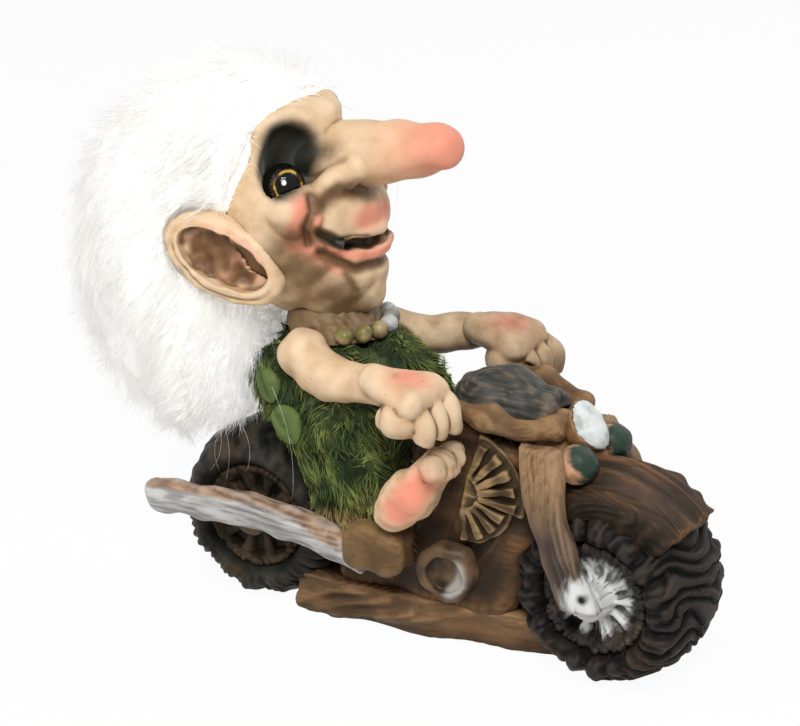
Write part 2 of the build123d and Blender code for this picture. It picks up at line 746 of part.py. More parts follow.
# Arms, lofted from shoulder to knuckles, with the fingers closed round the grips
def arm(side):
    grip = front_point(-GRIP_BACK, side * GRIP_HALF, grip_height)
    finger_ring = BAR_RADIUS + FINGER_RADIUS - FINGER_GRIP
    shoulder = Vector(SHOULDER_X, side * SHOULDER_HALF, SHOULDER_Z)
    knuckle = grip + Vector(0, 0, finger_ring)
    wrist = knuckle - steer_frame.x_dir * (2 * finger_ring)
    elbow = (shoulder + wrist) * 0.5 + Vector(0, side * FINGER_GRIP, -FINGER_RADIUS)
    with BuildPart() as body:
        for centre, ahead, radius in (
            (shoulder, elbow - shoulder, SHOULDER_RADIUS),
            (elbow, wrist - shoulder, ELBOW_RADIUS),
            (wrist, wrist - elbow, WRIST_RADIUS),
        ):
            with BuildSketch(Plane(centre, x_dir=steer_frame.y_dir, z_dir=ahead)):
                Circle(radius)
        with BuildSketch(Plane(knuckle, x_dir=steer_frame.y_dir, z_dir=steer_frame.x_dir)):
            Ellipse(FINGER_COUNT * FINGER_PITCH / 2, HAND_THICKNESS / 2)
        loft()
        add(ball(shoulder, SHOULDER_RADIUS + FINGER_GRIP))
        for number in range(FINGER_COUNT):
            offset = (number - (FINGER_COUNT - 1) / 2) * FINGER_PITCH
            centre = grip + steer_frame.y_dir * offset
            ring = Plane(centre, x_dir=-steer_frame.x_dir, z_dir=steer_frame.y_dir)
            with Locations(ring.location):
                Torus(finger_ring, FINGER_RADIUS, major_angle=FINGER_ARC)
            for angle in (0, FINGER_ARC):
                turn = math.radians(angle)
                tip = (finger_ring * math.cos(turn), finger_ring * math.sin(turn), 0)
                add(ball(ring.from_local_coords(tip), FINGER_RADIUS + FINGER_GRIP / 2))
        for piece in (handlebar, moss_dress, bust, head, fuel_tank):
            add(piece.part, mode=Mode.SUBTRACT)
    return body


arms = {name: arm(side) for name, side in SIDES.items()}


# Feet, toes up on the pegs of the frame, heels on the footboards
def foot(side):
    lift = math.radians(FOOT_PITCH)
    along = Vector(math.cos(lift), 0, math.sin(lift))
    frame = Plane((FOOT_X, side * FOOT_HALF, FOOT_Z), x_dir=(0, 1, 0), z_dir=along)
    with BuildPart() as body:
        add(egg(frame, FOOT_RADIUS, FOOT_LENGTH / 2))
        for number in range(TOE_COUNT):
            offset = (number - (TOE_COUNT - 1) / 2) * TOE_PITCH
            add(ball(frame.from_local_coords((offset, 0, FOOT_LENGTH / 2 - TOE_RADIUS / 2)), TOE_RADIUS))
        for group in (arms, footboards, upper_fans):
            for piece in group.values():
                add(piece.part, mode=Mode.SUBTRACT)
        for piece in (moss_dress, engine_block):
            add(piece.part, mode=Mode.SUBTRACT)
    return body


feet = {name: foot(side) for name, side in SIDES.items()}

# Leather skin of the wig, fitted over the crown behind the hairline
hairline = math.radians(HAIRLINE_ANGLE)
hairline_plane = Plane(
    head_point((HAIRLINE_AHEAD, 0, SKULL_HALF_HEIGHT)),
    x_dir=(0, 1, 0),
    z_dir=(math.cos(hairline), 0, -math.sin(hairline)),
)
with BuildPart() as wig_skin:
    add(egg(head_frame, SKULL_RADIUS + SKIN_THICKNESS, SKULL_HALF_HEIGHT + SKIN_THICKNESS))
    split(bisect_by=hairline_plane, keep=Keep.BOTTOM)
    add(head.part, mode=Mode.SUBTRACT)
    for piece in ears.values():
        add(piece.part, mode=Mode.SUBTRACT)

# Fur of the wig, the outer form of the long hair
with BuildPart() as wig_seat:
    add(head.part)
    add(wig_skin.part)
with BuildPart() as wig_fur:
    for height, centre, half_length, half_width in WIG_SECTIONS:
        with BuildSketch(Plane((centre, 0, height))):
            Ellipse(half_length, half_width)
    loft()
    with BuildSketch(hairline_plane):
        Rectangle(4 * SKULL_RADIUS, 2 * HAIRLINE_LENGTH)
    extrude(amount=3 * SKULL_RADIUS, mode=Mode.SUBTRACT)
    for tool in (wig_seat.part, *ear_blanks.values(), moss_dress.part):
        add(tool, mode=Mode.SUBTRACT)

pieces = {
    "base_plinth": base_plinth,
    "rear_tyre": rear_tyre,
    "rear_wheel": rear_wheel,
    "front_tyre": front_tyre,
    "front_wheel": front_wheel,
    "engine_block": engine_block,
    "front_mudguard": front_mudguard,
    "handlebar": handlebar,
    "fuel_tank": fuel_tank,
    "headlamp_cup": headlamp_cup,
    "headlamp_lens": headlamp_lens,
    "moss_dress": moss_dress,
    "exhaust_pipe": exhaust_pipe,
    "head": head,
    "bust": bust,
    "necklace_beads": necklace_beads,
    "wig_skin": wig_skin,
    "wig_fur": wig_fur,
}
paired = {
    "fork_leg": fork_legs,
    "spot_lamp": spot_lamps,
    "upper_fan": upper_fans,
    "lower_fan": lower_fans,
    "engine_cover": engine_covers,
    "footboard": footboards,
    "eye_glass": eye_fronts,
    "eye_iris": eye_backs,
    "ear": ears,
    "arm": arms,
    "foot": feet,
}
for name, pair in paired.items():
    for side in SIDES:
        pieces[name + "_" + side] = pair[side]

os.makedirs("parts", exist_ok=True)
for name, piece in pieces.items():
    piece.part.label = name
    export_step(piece.part, "parts/" + name + ".step")
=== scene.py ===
import math
import bpy
import numpy as np
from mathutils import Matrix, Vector


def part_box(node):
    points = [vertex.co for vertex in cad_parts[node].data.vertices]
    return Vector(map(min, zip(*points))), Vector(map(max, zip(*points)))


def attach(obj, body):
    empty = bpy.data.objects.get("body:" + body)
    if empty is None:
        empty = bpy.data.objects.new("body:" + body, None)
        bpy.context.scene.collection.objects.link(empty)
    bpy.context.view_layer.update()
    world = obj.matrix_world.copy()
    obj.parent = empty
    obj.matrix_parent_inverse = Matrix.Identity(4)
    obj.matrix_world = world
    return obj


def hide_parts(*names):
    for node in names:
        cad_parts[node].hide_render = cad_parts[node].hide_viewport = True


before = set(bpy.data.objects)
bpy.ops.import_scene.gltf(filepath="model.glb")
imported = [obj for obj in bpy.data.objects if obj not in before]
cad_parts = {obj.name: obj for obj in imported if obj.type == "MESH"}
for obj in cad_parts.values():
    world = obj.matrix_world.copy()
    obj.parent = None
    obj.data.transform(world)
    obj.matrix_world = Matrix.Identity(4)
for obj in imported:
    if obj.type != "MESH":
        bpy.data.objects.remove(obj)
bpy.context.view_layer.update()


# The studio: a white paper sweep under the figure, three soft boxes and the pale room round them.
# The camera stands off the bike's right front quarter and looks down on the figure.
class Ink:
    """One socket of a shader: operators on it add Math nodes, and node() adds any other kind."""

    def __init__(self, tree, socket=None):
        self.tree = tree
        self.socket = socket

    def node(self, kind, sockets=None, settings=None, out=0):
        """Adds a node; a colour is given as three numbers, since its fourth is always 1."""
        made = self.tree.nodes.new("ShaderNode" + kind)
        for key, value in (settings or {}).items():
            setattr(made, key, value)
        for key, value in (sockets or {}).items():
            socket = made.inputs[key]
            if isinstance(value, Ink):
                self.tree.links.new(value.socket, socket)
            else:
                socket.default_value = (*value, 1) if socket.type == "RGBA" else value
        return Ink(self.tree, made.outputs[out]) if len(made.outputs) else None

    def maths(self, operation, *values):
        return self.node("Math", dict(enumerate(values)), {"operation": operation})

    def __add__(self, other):
        return self.maths("ADD", self, other)

    def __sub__(self, other):
        return self.maths("SUBTRACT", self, other)

    def __rsub__(self, other):
        return self.maths("SUBTRACT", other, self)

    def __mul__(self, other):
        return self.maths("MULTIPLY", self, other)

    __radd__ = __add__
    __rmul__ = __mul__


scene = bpy.context.scene
scene.view_settings.view_transform = "Standard"

CAMERA_TURN = math.radians(28)
CAMERA_RISE = math.radians(20)
CAMERA_DISTANCE = 0.700
CAMERA_TARGET = Vector((-0.014, 0, 0.0804))
CAMERA_LENS = 107.1
CAMERA_SENSOR = 36
CAMERA_NEAREST = 0.01
towards_camera = Vector((
    math.sin(CAMERA_TURN) * math.cos(CAMERA_RISE),
    -math.cos(CAMERA_TURN) * math.cos(CAMERA_RISE),
    math.sin(CAMERA_RISE),
))


def aim(thing, target):
    """Turns a lamp or camera so that it looks at a point."""
    thing.rotation_euler = (target - thing.location).to_track_quat("-Z", "Y").to_euler()


bpy.ops.object.camera_add(location=CAMERA_TARGET + CAMERA_DISTANCE * towards_camera)
camera = bpy.context.object
camera.data.lens = CAMERA_LENS
camera.data.sensor_width = CAMERA_SENSOR
camera.data.clip_start = CAMERA_NEAREST
aim(camera, CAMERA_TARGET)
scene.camera = camera

SOFT_BOXES = (
    ("key_box", (0.30, -0.70, 0.90), 0.5, 12.0),
    ("fill_box", (-0.75, -0.55, 0.55), 0.8, 3.0),
    ("far_box", (0.35, 0.70, 0.80), 0.8, 3.5),
)
for box_name, place, width, power in SOFT_BOXES:
    bpy.ops.object.light_add(type="AREA", location=place)
    soft_box = bpy.context.object
    soft_box.name = box_name
    soft_box.data.size = width
    soft_box.data.energy = power
    aim(soft_box, CAMERA_TARGET)

WHITE = (1, 1, 1)
ROOM_LIGHT = 0.20
world = bpy.data.worlds.new("pale_room")
scene.world = world
world.use_nodes = True
world.node_tree.nodes.clear()
room = Ink(world.node_tree)


def seen_ray(ink):
    """1 for the rays that see a backdrop, straight or in a shiny or clear surface, else 0."""
    rays = [ink.node("LightPath", out=name)
            for name in ("Is Camera Ray", "Is Glossy Ray", "Is Transmission Ray")]
    return rays[0].maths("MAXIMUM", rays[0], rays[1].maths("MAXIMUM", rays[1], rays[2]))


room_strength = seen_ray(room) * (1 - ROOM_LIGHT) + ROOM_LIGHT
backdrop = room.node("Background", {"Color": WHITE, "Strength": room_strength})
room.node("OutputWorld", {"Surface": backdrop})


def added(operator, **settings):
    """A new primitive, with nothing else selected."""
    bpy.ops.object.select_all(action="DESELECT")
    operator(**settings)
    return bpy.context.object


def new_paint(name):
    """An empty material, and the ink to fill it with."""
    material = bpy.data.materials.new(name)
    material.use_nodes = True
    material.node_tree.nodes.clear()
    return material, Ink(material.node_tree)


FLOOR_REACH = 6.0
FLOOR_DROP = 0.0002
PAPER_GREY = (0.8, 0.8, 0.8)
PAPER_WHITENESS = 0.95
floor = added(bpy.ops.mesh.primitive_plane_add, size=FLOOR_REACH, location=(0, 0, -FLOOR_DROP))
floor.name = "paper_floor"
bpy.ops.object.transform_apply(location=True)
paper, sheet = new_paint("white_paper")
lit_paper = sheet.node("BsdfDiffuse", {"Color": PAPER_GREY})
white_paper = sheet.node("Emission", {"Color": WHITE, "Strength": 1.0})
paper_face = sheet.node("MixShader", {
    0: seen_ray(sheet) * PAPER_WHITENESS, 1: lit_paper, 2: white_paper})
sheet.node("OutputMaterial", {"Surface": paper_face})
floor.data.materials.append(paper)


# The ground block and the engine with its frame are castings shaped like roots, painted as weathered
# wood: a dark wash in the grain, then copper and tan dragged over the ridges with a nearly dry brush.
MERGE_GAP = 1e-6
TINY = 1e-9


def only(piece):
    """Selects one piece alone and makes it the active one."""
    bpy.ops.object.select_all(action="DESELECT")
    piece.select_set(True)
    bpy.context.view_layer.objects.active = piece


def apply_modifier(piece, kind, **settings):
    modifier = piece.modifiers.new(kind.lower(), kind)
    for key, value in settings.items():
        setattr(modifier, key, value)
    only(piece)
    bpy.ops.object.modifier_apply(modifier=modifier.name)


def edit_all(piece, operator, **settings):
    """Runs one operator on the whole of a piece's mesh."""
    only(piece)
    bpy.ops.object.mode_set(mode="EDIT")
    bpy.ops.mesh.select_all(action="SELECT")
    operator(**settings)
    bpy.ops.object.mode_set(mode="OBJECT")


def read(items, field, width=3, kind=float):
    """One row of numbers for each point, edge or face of a mesh."""
    flat = np.empty(width * len(items), dtype=kind)
    items.foreach_get(field, flat)
    return flat.reshape(-1, width)


def points_of(piece):
    """The piece's points in millimetres."""
    return 1000 * read(piece.data.vertices, "co")


def normals_of(piece):
    return read(piece.data.vertex_normals, "vector")


def move_points(piece, points):
    piece.data.vertices.foreach_set("co", points.ravel() / 1000)
    piece.data.update()


def add_lumps(piece, lumps):
    """Joins round lumps to a piece, each a place and a radius in mm: one ball, copied."""
    ball = added(bpy.ops.mesh.primitive_uv_sphere_add, segments=20, ring_count=12, radius=1.0)
    corners = read(ball.data.vertices, "co")
    faces = [list(face.vertices) for face in ball.data.polygons]
    points, loops = [], []
    for number, (place, radius) in enumerate(lumps):
        points.extend((np.array(place) + radius * corners) / 1000)
        loops.extend([[corner + number * len(corners) for corner in face] for face in faces])
    ball.data.clear_geometry()
    ball.data.from_pydata(points, [], loops)
    only(piece)
    ball.select_set(True)
    bpy.ops.object.join()


def clay_copy(node, name, grain_size, eased, lumps=()):
    """A casting's clay: the node's form and any round lumps, made one in grains of a size in mm."""
    piece = bpy.data.objects.new(name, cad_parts[node].data.copy())
    scene.collection.objects.link(piece)
    piece.data.materials.clear()
    edit_all(piece, bpy.ops.mesh.remove_doubles, threshold=MERGE_GAP)
    if lumps:
        add_lumps(piece, lumps)
    apply_modifier(piece, "REMESH", mode="VOXEL", voxel_size=grain_size / 1000)
    apply_modifier(piece, "SMOOTH", factor=0.5, iterations=eased)
    return piece


def press(piece, heights):
    """Raises the surface by a height in mm at each point, keeping it above the ground."""
    points = points_of(piece) + normals_of(piece) * np.asarray(heights)[:, None]
    points[:, 2] = np.maximum(points[:, 2], 0)
    move_points(piece, points)


def held(values):
    """Values held between 0 and 1."""
    return np.clip(values, 0, 1)


RIPPLE_WAVES = 5
RIPPLE_FINER = 0.55
RIPPLE_WEAKER = 0.6
RIPPLE_SCALE = 2.2


def ripple(points, size, seed, layers=3):
    """Smooth wandering heights, mostly between -1 and 1, whose largest swells are a size in mm."""
    luck = np.random.default_rng(seed)
    total = np.zeros(len(points))
    for layer in range(layers):
        for _ in range(RIPPLE_WAVES):
            way = luck.normal(size=3)
            length = size * RIPPLE_FINER**layer * luck.uniform(0.8, 1.6)
            way *= 2 * math.pi / (length * np.linalg.norm(way))
            total += RIPPLE_WEAKER**layer * np.sin(points @ way + luck.uniform(0, 2 * math.pi))
    return total / RIPPLE_SCALE


GRAIN_DRAWN_OUT = 0.85
GRAIN_LEAN = (0.25, 0.9, 0.35)


def grain_lines(points, way, spacing, seed, wander=1.0):
    """Ridges from 0 to 1 that run along the grain, a spacing in mm apart, and come and go."""
    way = np.array(way) / np.linalg.norm(way)
    drawn = points - GRAIN_DRAWN_OUT * np.outer(points @ way, way)
    phase = drawn @ np.cross(way, GRAIN_LEAN) / spacing + wander * ripple(drawn, 6 * spacing, seed, 2)
    strength = held(0.55 + 0.7 * ripple(drawn, 5 * spacing, seed + 500, 2))
    return strength * (0.5 + 0.5 * np.cos(2 * math.pi * phase))


def stroke(points, path, width):
    """1 on a line drawn through the path's places, or on a dot, fading out over a width."""
    path = np.array(path, dtype=float)
    nearest = np.full(len(points), np.inf)
    for start, end in zip(path[:-1], path[1:]):
        run = end - start
        share = held((points - start) @ run / max(run @ run, TINY))
        nearest = np.minimum(nearest, ((points - start - np.outer(share, run)) ** 2).sum(axis=1))
    return np.exp(-nearest / width**2)


def keep(piece, name, values):
    """Stores one number at each point for the paint to read."""
    layer = piece.data.attributes.new(name, "FLOAT", "POINT")
    layer.data.foreach_set("value", np.ascontiguousarray(values, dtype=np.float32))


def relief(piece, depth, rounds=12):
    """Stores how far each point lies in a hollow or on a ridge, for washes and dry brush."""
    points = points_of(piece)
    ends = read(piece.data.edges, "vertices", 2, np.int64)
    count = np.maximum(np.bincount(ends.ravel(), minlength=len(points)), 1)
    eased = points.copy()
    for _ in range(rounds):
        total = np.stack([
            np.bincount(ends[:, 0], eased[ends[:, 1], axis], len(points))
            + np.bincount(ends[:, 1], eased[ends[:, 0], axis], len(points))
            for axis in range(3)
        ], axis=1)
        eased = total / count[:, None]
    sunk = ((eased - points) * normals_of(piece)).sum(axis=1) / depth
    keep(piece, "hollow", held(sunk))
    keep(piece, "ridge", held(-sunk))


def cast(node, name, grain_size, eased, carving, depth=0.3, rounds=12, lumps=()):
    """A finished casting of one node, carved by the heights that a function gives for its points."""
    piece = clay_copy(node, name, grain_size, eased, lumps)
    press(piece, carving(points_of(piece)))
    relief(piece, depth, rounds)
    return piece


def mixed(amount, under, over):
    """One colour over another by an amount from 0 to 1."""
    return amount.node("Mix", {0: amount, 6: under, 7: over}, {"data_type": "RGBA"}, out=2)


def faded(value, low, high):
    """0 below the low value and 1 above the high one, with a soft step between."""
    step = {"interpolation_type": "SMOOTHSTEP"}
    return value.node("MapRange", {0: value, 1: low, 2: high}, step)


def mark(ink, name):
    """A number stored on the piece's points."""
    return ink.node("Attribute", settings={"attribute_name": name}, out="Fac")


def mottle(ink, size, stretch=(1, 1, 1), detail=4):
    """Cloudy noise from 0 to 1 whose blots are a size in mm, drawn out where a stretch is below 1."""
    spot = ink.node("TexCoord", out="Object")
    spot = ink.node("Mapping", {"Vector": spot, "Scale": stretch})
    cloud = {"Vector": spot, "Scale": 1000 / size, "Detail": detail}
    return ink.node("TexNoise", cloud)


def two_tone(ink, size, dark, light, low=0.35, high=0.65, **cloud):
    """Two colours in cloudy patches of a size in mm."""
    return mixed(faded(mottle(ink, size, **cloud), low, high), dark, light)


DARK_WASH = (0.010, 0.007, 0.004)


def washed(ink, coat, amount, wash=DARK_WASH):
    """A dark wash that stays in the hollows."""
    return mixed(mark(ink, "hollow") * amount, coat, wash)


def brushed(ink, coat, amount, light):
    """A light paint dragged over the ridges."""
    return mixed(mark(ink, "ridge") * amount, coat, light)


GRIT_STRENGTH = 0.5
COAT_ROUGHNESS = 0.3


def finish_paint(ink, base, roughness, grit=0.0, grit_size=0.8, coat=0.0, painted_glow=0.0, gloss=0.16):
    """A painted surface: colour, roughness, fine grit as bump, a clear coat and a painted glow if any.
    """
    sockets = {
        "Base Color": base, "Roughness": roughness, "Specular IOR Level": gloss,
        "Coat Weight": coat, "Coat Roughness": COAT_ROUGHNESS,
    }
    if grit:
        sockets["Normal"] = ink.node("Bump", {
            "Strength": GRIT_STRENGTH, "Distance": grit / 1000, "Height": mottle(ink, grit_size)})
    if painted_glow:
        sockets["Emission Color"] = base
        sockets["Emission Strength"] = painted_glow
    shader = ink.node("BsdfPrincipled", sockets)
    ink.node("OutputMaterial", {"Surface": shader})


def settle(piece, material, slot, *nodes):
    """Paints a finished piece and puts it on the figure, in place of its nodes if it stands for any."""
    piece.data.materials.append(material)
    only(piece)
    bpy.ops.object.shade_smooth()
    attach(piece, "root")
    if nodes:
        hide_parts(*nodes)


def root_paint(name, dark, middle, light, brush=0.6, patch=18):
    """Two browns in soft patches, dark streaks and creases, and a light dry brush on the ridges."""
    material, ink = new_paint(name)
    coat = two_tone(ink, patch, dark, middle, 0.36, 0.7, detail=7)
    rubbed = faded(mark(ink, "ridge") + 0.7 * mottle(ink, 7, detail=7) - 0.35, 0.05, 1.1)
    coat = mixed(rubbed * brush, coat, light)
    streaks = faded(mottle(ink, 1.4, (0.14, 1, 1), detail=7), 0.48, 0.68)
    coat = mixed(streaks * 0.55, coat, dark)
    coat = mixed(faded(mark(ink, "hollow"), 0.1, 1.1) * 0.85, coat, DARK_WASH)
    shaded = faded(mark(ink, "shade") + 0.5 * mottle(ink, 6) - 0.25, 0.05, 1.0)
    coat = mixed(shaded * 0.9, coat, DARK_WASH)
    finish_paint(ink, coat, 0.45 + 0.25 * mottle(ink, 5), grit=0.22, grit_size=1.2)
    return material


PLINTH_LEAVES = (
    ((-42, -14, 3), (-30, -15, 9), (-18, -15, 12)),
    ((-38, -14, 1), (-24, -14, 6), (-10, -15, 11)),
    ((-30, -13, 1), (-16, -14, 4), (-2, -14, 9)),
    ((-14, -14, 3), (0, -13, 7), (16, -11, 11)),
)
PLINTH_LEAF_WIDTH = 1.6
PLINTH_SHADE_TOP = 7
PLINTH_SHADE_FADE = 9


def carved_plinth(spots):
    """Long leaf-like folds along both sides of the block, over soft swells and fine grain."""
    near = np.stack([spots[:, 0], -np.abs(spots[:, 1]), spots[:, 2]], axis=1)
    folds = sum(stroke(near, leaf, PLINTH_LEAF_WIDTH) for leaf in PLINTH_LEAVES)
    swells = ripple(spots * (0.5, 1, 1), 16, 11, 2)
    return 1.4 * folds + 0.8 * swells + 0.35 * grain_lines(spots, (1, 0, 0.3), 1.7, 12)


plinth = cast("base_plinth", "ground_block", 0.6, 24, carved_plinth, depth=0.55)
keep(plinth, "shade", held((PLINTH_SHADE_TOP - points_of(plinth)[:, 2]) / PLINTH_SHADE_FADE))
plinth_wood = root_paint(
    "plinth_wood_paint", (0.085, 0.048, 0.023), (0.20, 0.108, 0.050), (0.36, 0.205, 0.096))
settle(plinth, plinth_wood, "root_wood", "base_plinth")

DOWN_TUBE_RADIUS = 6.5
DOWN_TUBE_LEAN = 0.18
DOWN_TUBE = [
    ((22.0 + DOWN_TUBE_LEAN * z - back, y, z), DOWN_TUBE_RADIUS)
    for z in np.linspace(17, 47, 14) for y in (-7.5, -2.5, 2.5, 7.5) for back in (0, 4, 8, 12)
]
engine = cast("engine_block", "engine_casting", 0.7, 7, lambda spots: (
    0.8 * ripple(spots, 15, 21, 2) + 0.4 * grain_lines(spots, (0.45, 0, 1), 2.2, 22) - 0.2),
    depth=0.55, lumps=DOWN_TUBE)
engine_wood = root_paint(
    "engine_wood_paint", (0.026, 0.017, 0.010), (0.105, 0.052, 0.022), (0.24, 0.12, 0.048))
settle(engine, engine_wood, "root_wood", "engine_block")


# Two fat balloon tyres, cast with the bike and painted black-brown. The front one has a deep wavy
# tread and lumpy shoulders, and the rear one is worn smooth with short ribs on its shoulders.
RIM_RADIUS = 15.5
BULGE_RADIUS = 20.0
TYRE_RADIUS = 28.0
FRONT_WIDTH = 40.0
REAR_WIDTH = 31.0
STEER_TURN = math.radians(5)
CROWN_ROUNDNESS = 1.65
BEAD_ROUNDNESS = 2.3


def box_of(node):
    """A node's lowest and highest corners, in mm."""
    return 1000 * np.array(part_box(node))


def axle_of(wheel):
    """The middle of a wheel, in mm."""
    return box_of(wheel).mean(axis=0)


def wheel_frame(points, middle, turn):
    """Each point's angle round the axle, distance from it and place along it."""
    ahead, aside, up = (points - middle).T
    along = ahead * math.sin(turn) + aside * math.cos(turn)
    ahead = ahead * math.cos(turn) - aside * math.sin(turn)
    return np.arctan2(up, ahead), np.hypot(up, ahead), along


def balloon_tyre(name, wheel, turn, width, tread):
    """A torus reshaped to a fat tyre section, with a tread pressed into it."""
    piece = added(
        bpy.ops.mesh.primitive_torus_add,
        major_radius=BULGE_RADIUS / 1000, minor_radius=0.005, major_segments=256, minor_segments=120)
    piece.name = name
    east, north, lift = points_of(piece).T
    spin = np.arctan2(north, east)
    lean = np.arctan2(lift, np.hypot(east, north) - BULGE_RADIUS)
    outer = np.cos(lean) > 0
    power = np.where(outer, CROWN_ROUNDNESS, BEAD_ROUNDNESS)
    bulge = (np.abs(np.cos(lean)) ** power + np.abs(np.sin(lean)) ** power) ** (-1 / power)
    reach = np.where(outer, TYRE_RADIUS - BULGE_RADIUS, BULGE_RADIUS - RIM_RADIUS)
    radius = BULGE_RADIUS + reach * bulge * np.cos(lean)
    along = width / 2 * bulge * np.sin(lean)
    height = tread(spin, lean, along)
    radius += height * np.maximum(np.cos(lean), -0.2)
    along += height * np.sin(lean)
    ahead, up = radius * np.cos(spin), radius * np.sin(spin)
    forward = ahead * math.cos(turn) + along * math.sin(turn)
    leftward = along * math.cos(turn) - ahead * math.sin(turn)
    points = axle_of(wheel) + np.stack([forward, leftward, up], axis=1)
    points[:, 2] = np.maximum(points[:, 2], 0)
    move_points(piece, points)
    edit_all(piece, bpy.ops.mesh.normals_make_consistent, inside=False)
    return piece


def round_tyre(spin, along):
    """Places to carve by, in mm: on the tyre's circle, and along its axle."""
    return np.stack([TYRE_RADIUS * np.cos(spin), TYRE_RADIUS * np.sin(spin), along], axis=1)


def peak(values, middle, width):
    """1 at a middle value, fading out over a width."""
    return np.exp(-(((values - middle) / width) ** 2))


def wavy_tread(spin, lean, along):
    """Looping ridges over the crown, scalloped shoulders, and small lumps down the sides."""
    crown = held(1.6 * np.cos(lean) - 0.15)
    shoulder = peak(np.abs(along), 15.5, 3.5) * (np.cos(lean) > 0)
    side = held(np.abs(np.sin(lean)) * 1.6 - 0.6) * (np.cos(lean) > -0.7)
    places = round_tyre(spin, along)
    swing = 1.5 * np.sin(along / 4.2 + 2.2 * ripple(places, 30, 31, 1))
    swing += 1.2 * ripple(places, 18, 32, 2)
    locks = np.abs(np.sin(16 * spin + swing))
    scallops = np.abs(np.sin(10 * spin + 1.3 * np.sin(3 * spin))) ** 0.7
    lumps = ripple(places * (1, 1, 0.6), 7, 33)
    return crown * (2.2 * locks**0.8 - 1.6) + shoulder * (1.6 * scallops - 0.7) + 0.8 * side * lumps


def worn_tread(spin, lean, along):
    """A worn crown with soft dents, and short ribs over the lower shoulders."""
    outer = held(np.cos(lean) + 0.6)
    shoulder = peak(np.abs(along), 11, 4) * outer
    low = held(0.35 - np.sin(spin))
    ribs = np.abs(np.sin(29 * spin + 0.06 * np.abs(along) + 0.9 * np.sin(6 * spin))) - 0.5
    return low * shoulder * 1.5 * ribs + 0.6 * outer * ripple(round_tyre(spin, along), 13, 34)


RUBBED_RUBBER = (0.075, 0.058, 0.046)
TREAD_DIRT = (0.003, 0.003, 0.003)


def rubber_paint(name, dark, rubbed, mud):
    """Black-brown in two tones with mud in blots, greyer on the ridges and black in the tread."""
    material, ink = new_paint(name)
    coat = two_tone(ink, 8, dark, rubbed, 0.4, 0.7)
    coat = mixed(faded(mottle(ink, 15, detail=5), 0.52, 0.72) * 0.6, coat, mud)
    worn = faded(mark(ink, "ridge") + 0.5 * mottle(ink, 4) - 0.3, 0.2, 1.0)
    coat = mixed(worn * 0.35, coat, RUBBED_RUBBER)
    coat = mixed(faded(mark(ink, "hollow"), 0.05, 0.8) * 0.85, coat, TREAD_DIRT)
    finish_paint(ink, coat, 0.4 + 0.25 * mottle(ink, 3), grit=0.2, gloss=0.08)
    return material


TYRES = (
    ("front", STEER_TURN, FRONT_WIDTH, wavy_tread, 0.35,
     (0.007, 0.006, 0.006), (0.018, 0.014, 0.012), (0.045, 0.026, 0.014)),
    ("rear", 0, REAR_WIDTH, worn_tread, 0.3,
     (0.013, 0.013, 0.011), (0.036, 0.033, 0.027), (0.060, 0.036, 0.019)),
)
for end, turn, width, tread, depth, *rubber in TYRES:
    tyre = balloon_tyre(f"{end}_balloon_tyre", f"{end}_wheel", turn, width, tread)
    relief(tyre, depth)
    settle(tyre, rubber_paint(f"{end}_rubber_paint", *rubber), "dark_tyre", f"{end}_tyre")


# Spoked wheels: dished discs with a hub and raised spokes, carved by hand so that no two are alike.
# The front hub is dry-brushed white to its middle, and the rear one is left muddy brown.
RIM_SWELL = 1.3
GROOVE_COUNTS = (9, 14)
GROOVE_WIDTH = 0.17
WHEEL_DIRT = (0.010, 0.009, 0.008)


def spoked_disc(name, node, turn, seed, groove_depth):
    """A wheel with wandering radial grooves, and its distances from the axle stored for the paint."""
    def grooved(spots):
        angle, radius, _ = wheel_frame(spots, axle_of(node), turn)
        luck = np.random.default_rng(seed)
        grooves = np.zeros(len(spots))
        for count in GROOVE_COUNTS:
            wander = 0.35 * np.sin(radius / 2.5 + luck.uniform(0, 6))
            wander += 0.5 * np.sin(2 * angle + luck.uniform(0, 6))
            across = np.sin(count / 2 * angle + luck.uniform(0, 6) + wander)
            grooves = np.maximum(grooves, peak(across, 0, GROOVE_WIDTH))
        grooves *= held((radius - 4) / 3)
        swell = RIM_SWELL * held((radius - 8) / 6)
        return 0.3 * ripple(spots, 9, seed, 2) + swell - groove_depth * grooves

    piece = cast(node, name, 0.6, 5, grooved, depth=0.5)
    keep(piece, "from_axle", wheel_frame(points_of(piece), axle_of(node), turn)[1])
    return piece


def wheel_paint(name, dark, brown, white, reach):
    """Brown-black with a dry brush that is strongest at the hub and fades towards the rim."""
    material, ink = new_paint(name)
    coat = two_tone(ink, 5, dark, brown, 0.35, 0.7)
    near = 1 - faded(mark(ink, "from_axle"), 0.3 * reach, reach)
    dragged = 1.7 * near + 0.5 * mark(ink, "ridge") * near - 0.3 * mark(ink, "hollow")
    coat = mixed(faded(dragged - 1.1 * mottle(ink, 1.3, detail=8), 0.0, 0.9), coat, white)
    coat = mixed(faded(mark(ink, "hollow"), 0.3, 1.1) * 0.75, coat, WHEEL_DIRT)
    finish_paint(ink, coat, 0.5, grit=0.1)
    return material


WHEELS = (
    ("front", STEER_TURN, 41, 1.1,
     (0.018, 0.016, 0.016), (0.06, 0.045, 0.035), (0.62, 0.62, 0.61), 17.0),
    ("rear", 0, 42, 0.3,
     (0.020, 0.015, 0.010), (0.075, 0.048, 0.026), (0.13, 0.09, 0.055), 9.0),
)
for end, turn, seed, groove_depth, *tones in WHEELS:
    disc = spoked_disc(f"{end}_spoked_wheel", f"{end}_wheel", turn, seed, groove_depth)
    settle(disc, wheel_paint(f"{end}_wheel_paint", *tones), "silver_wash", f"{end}_wheel")


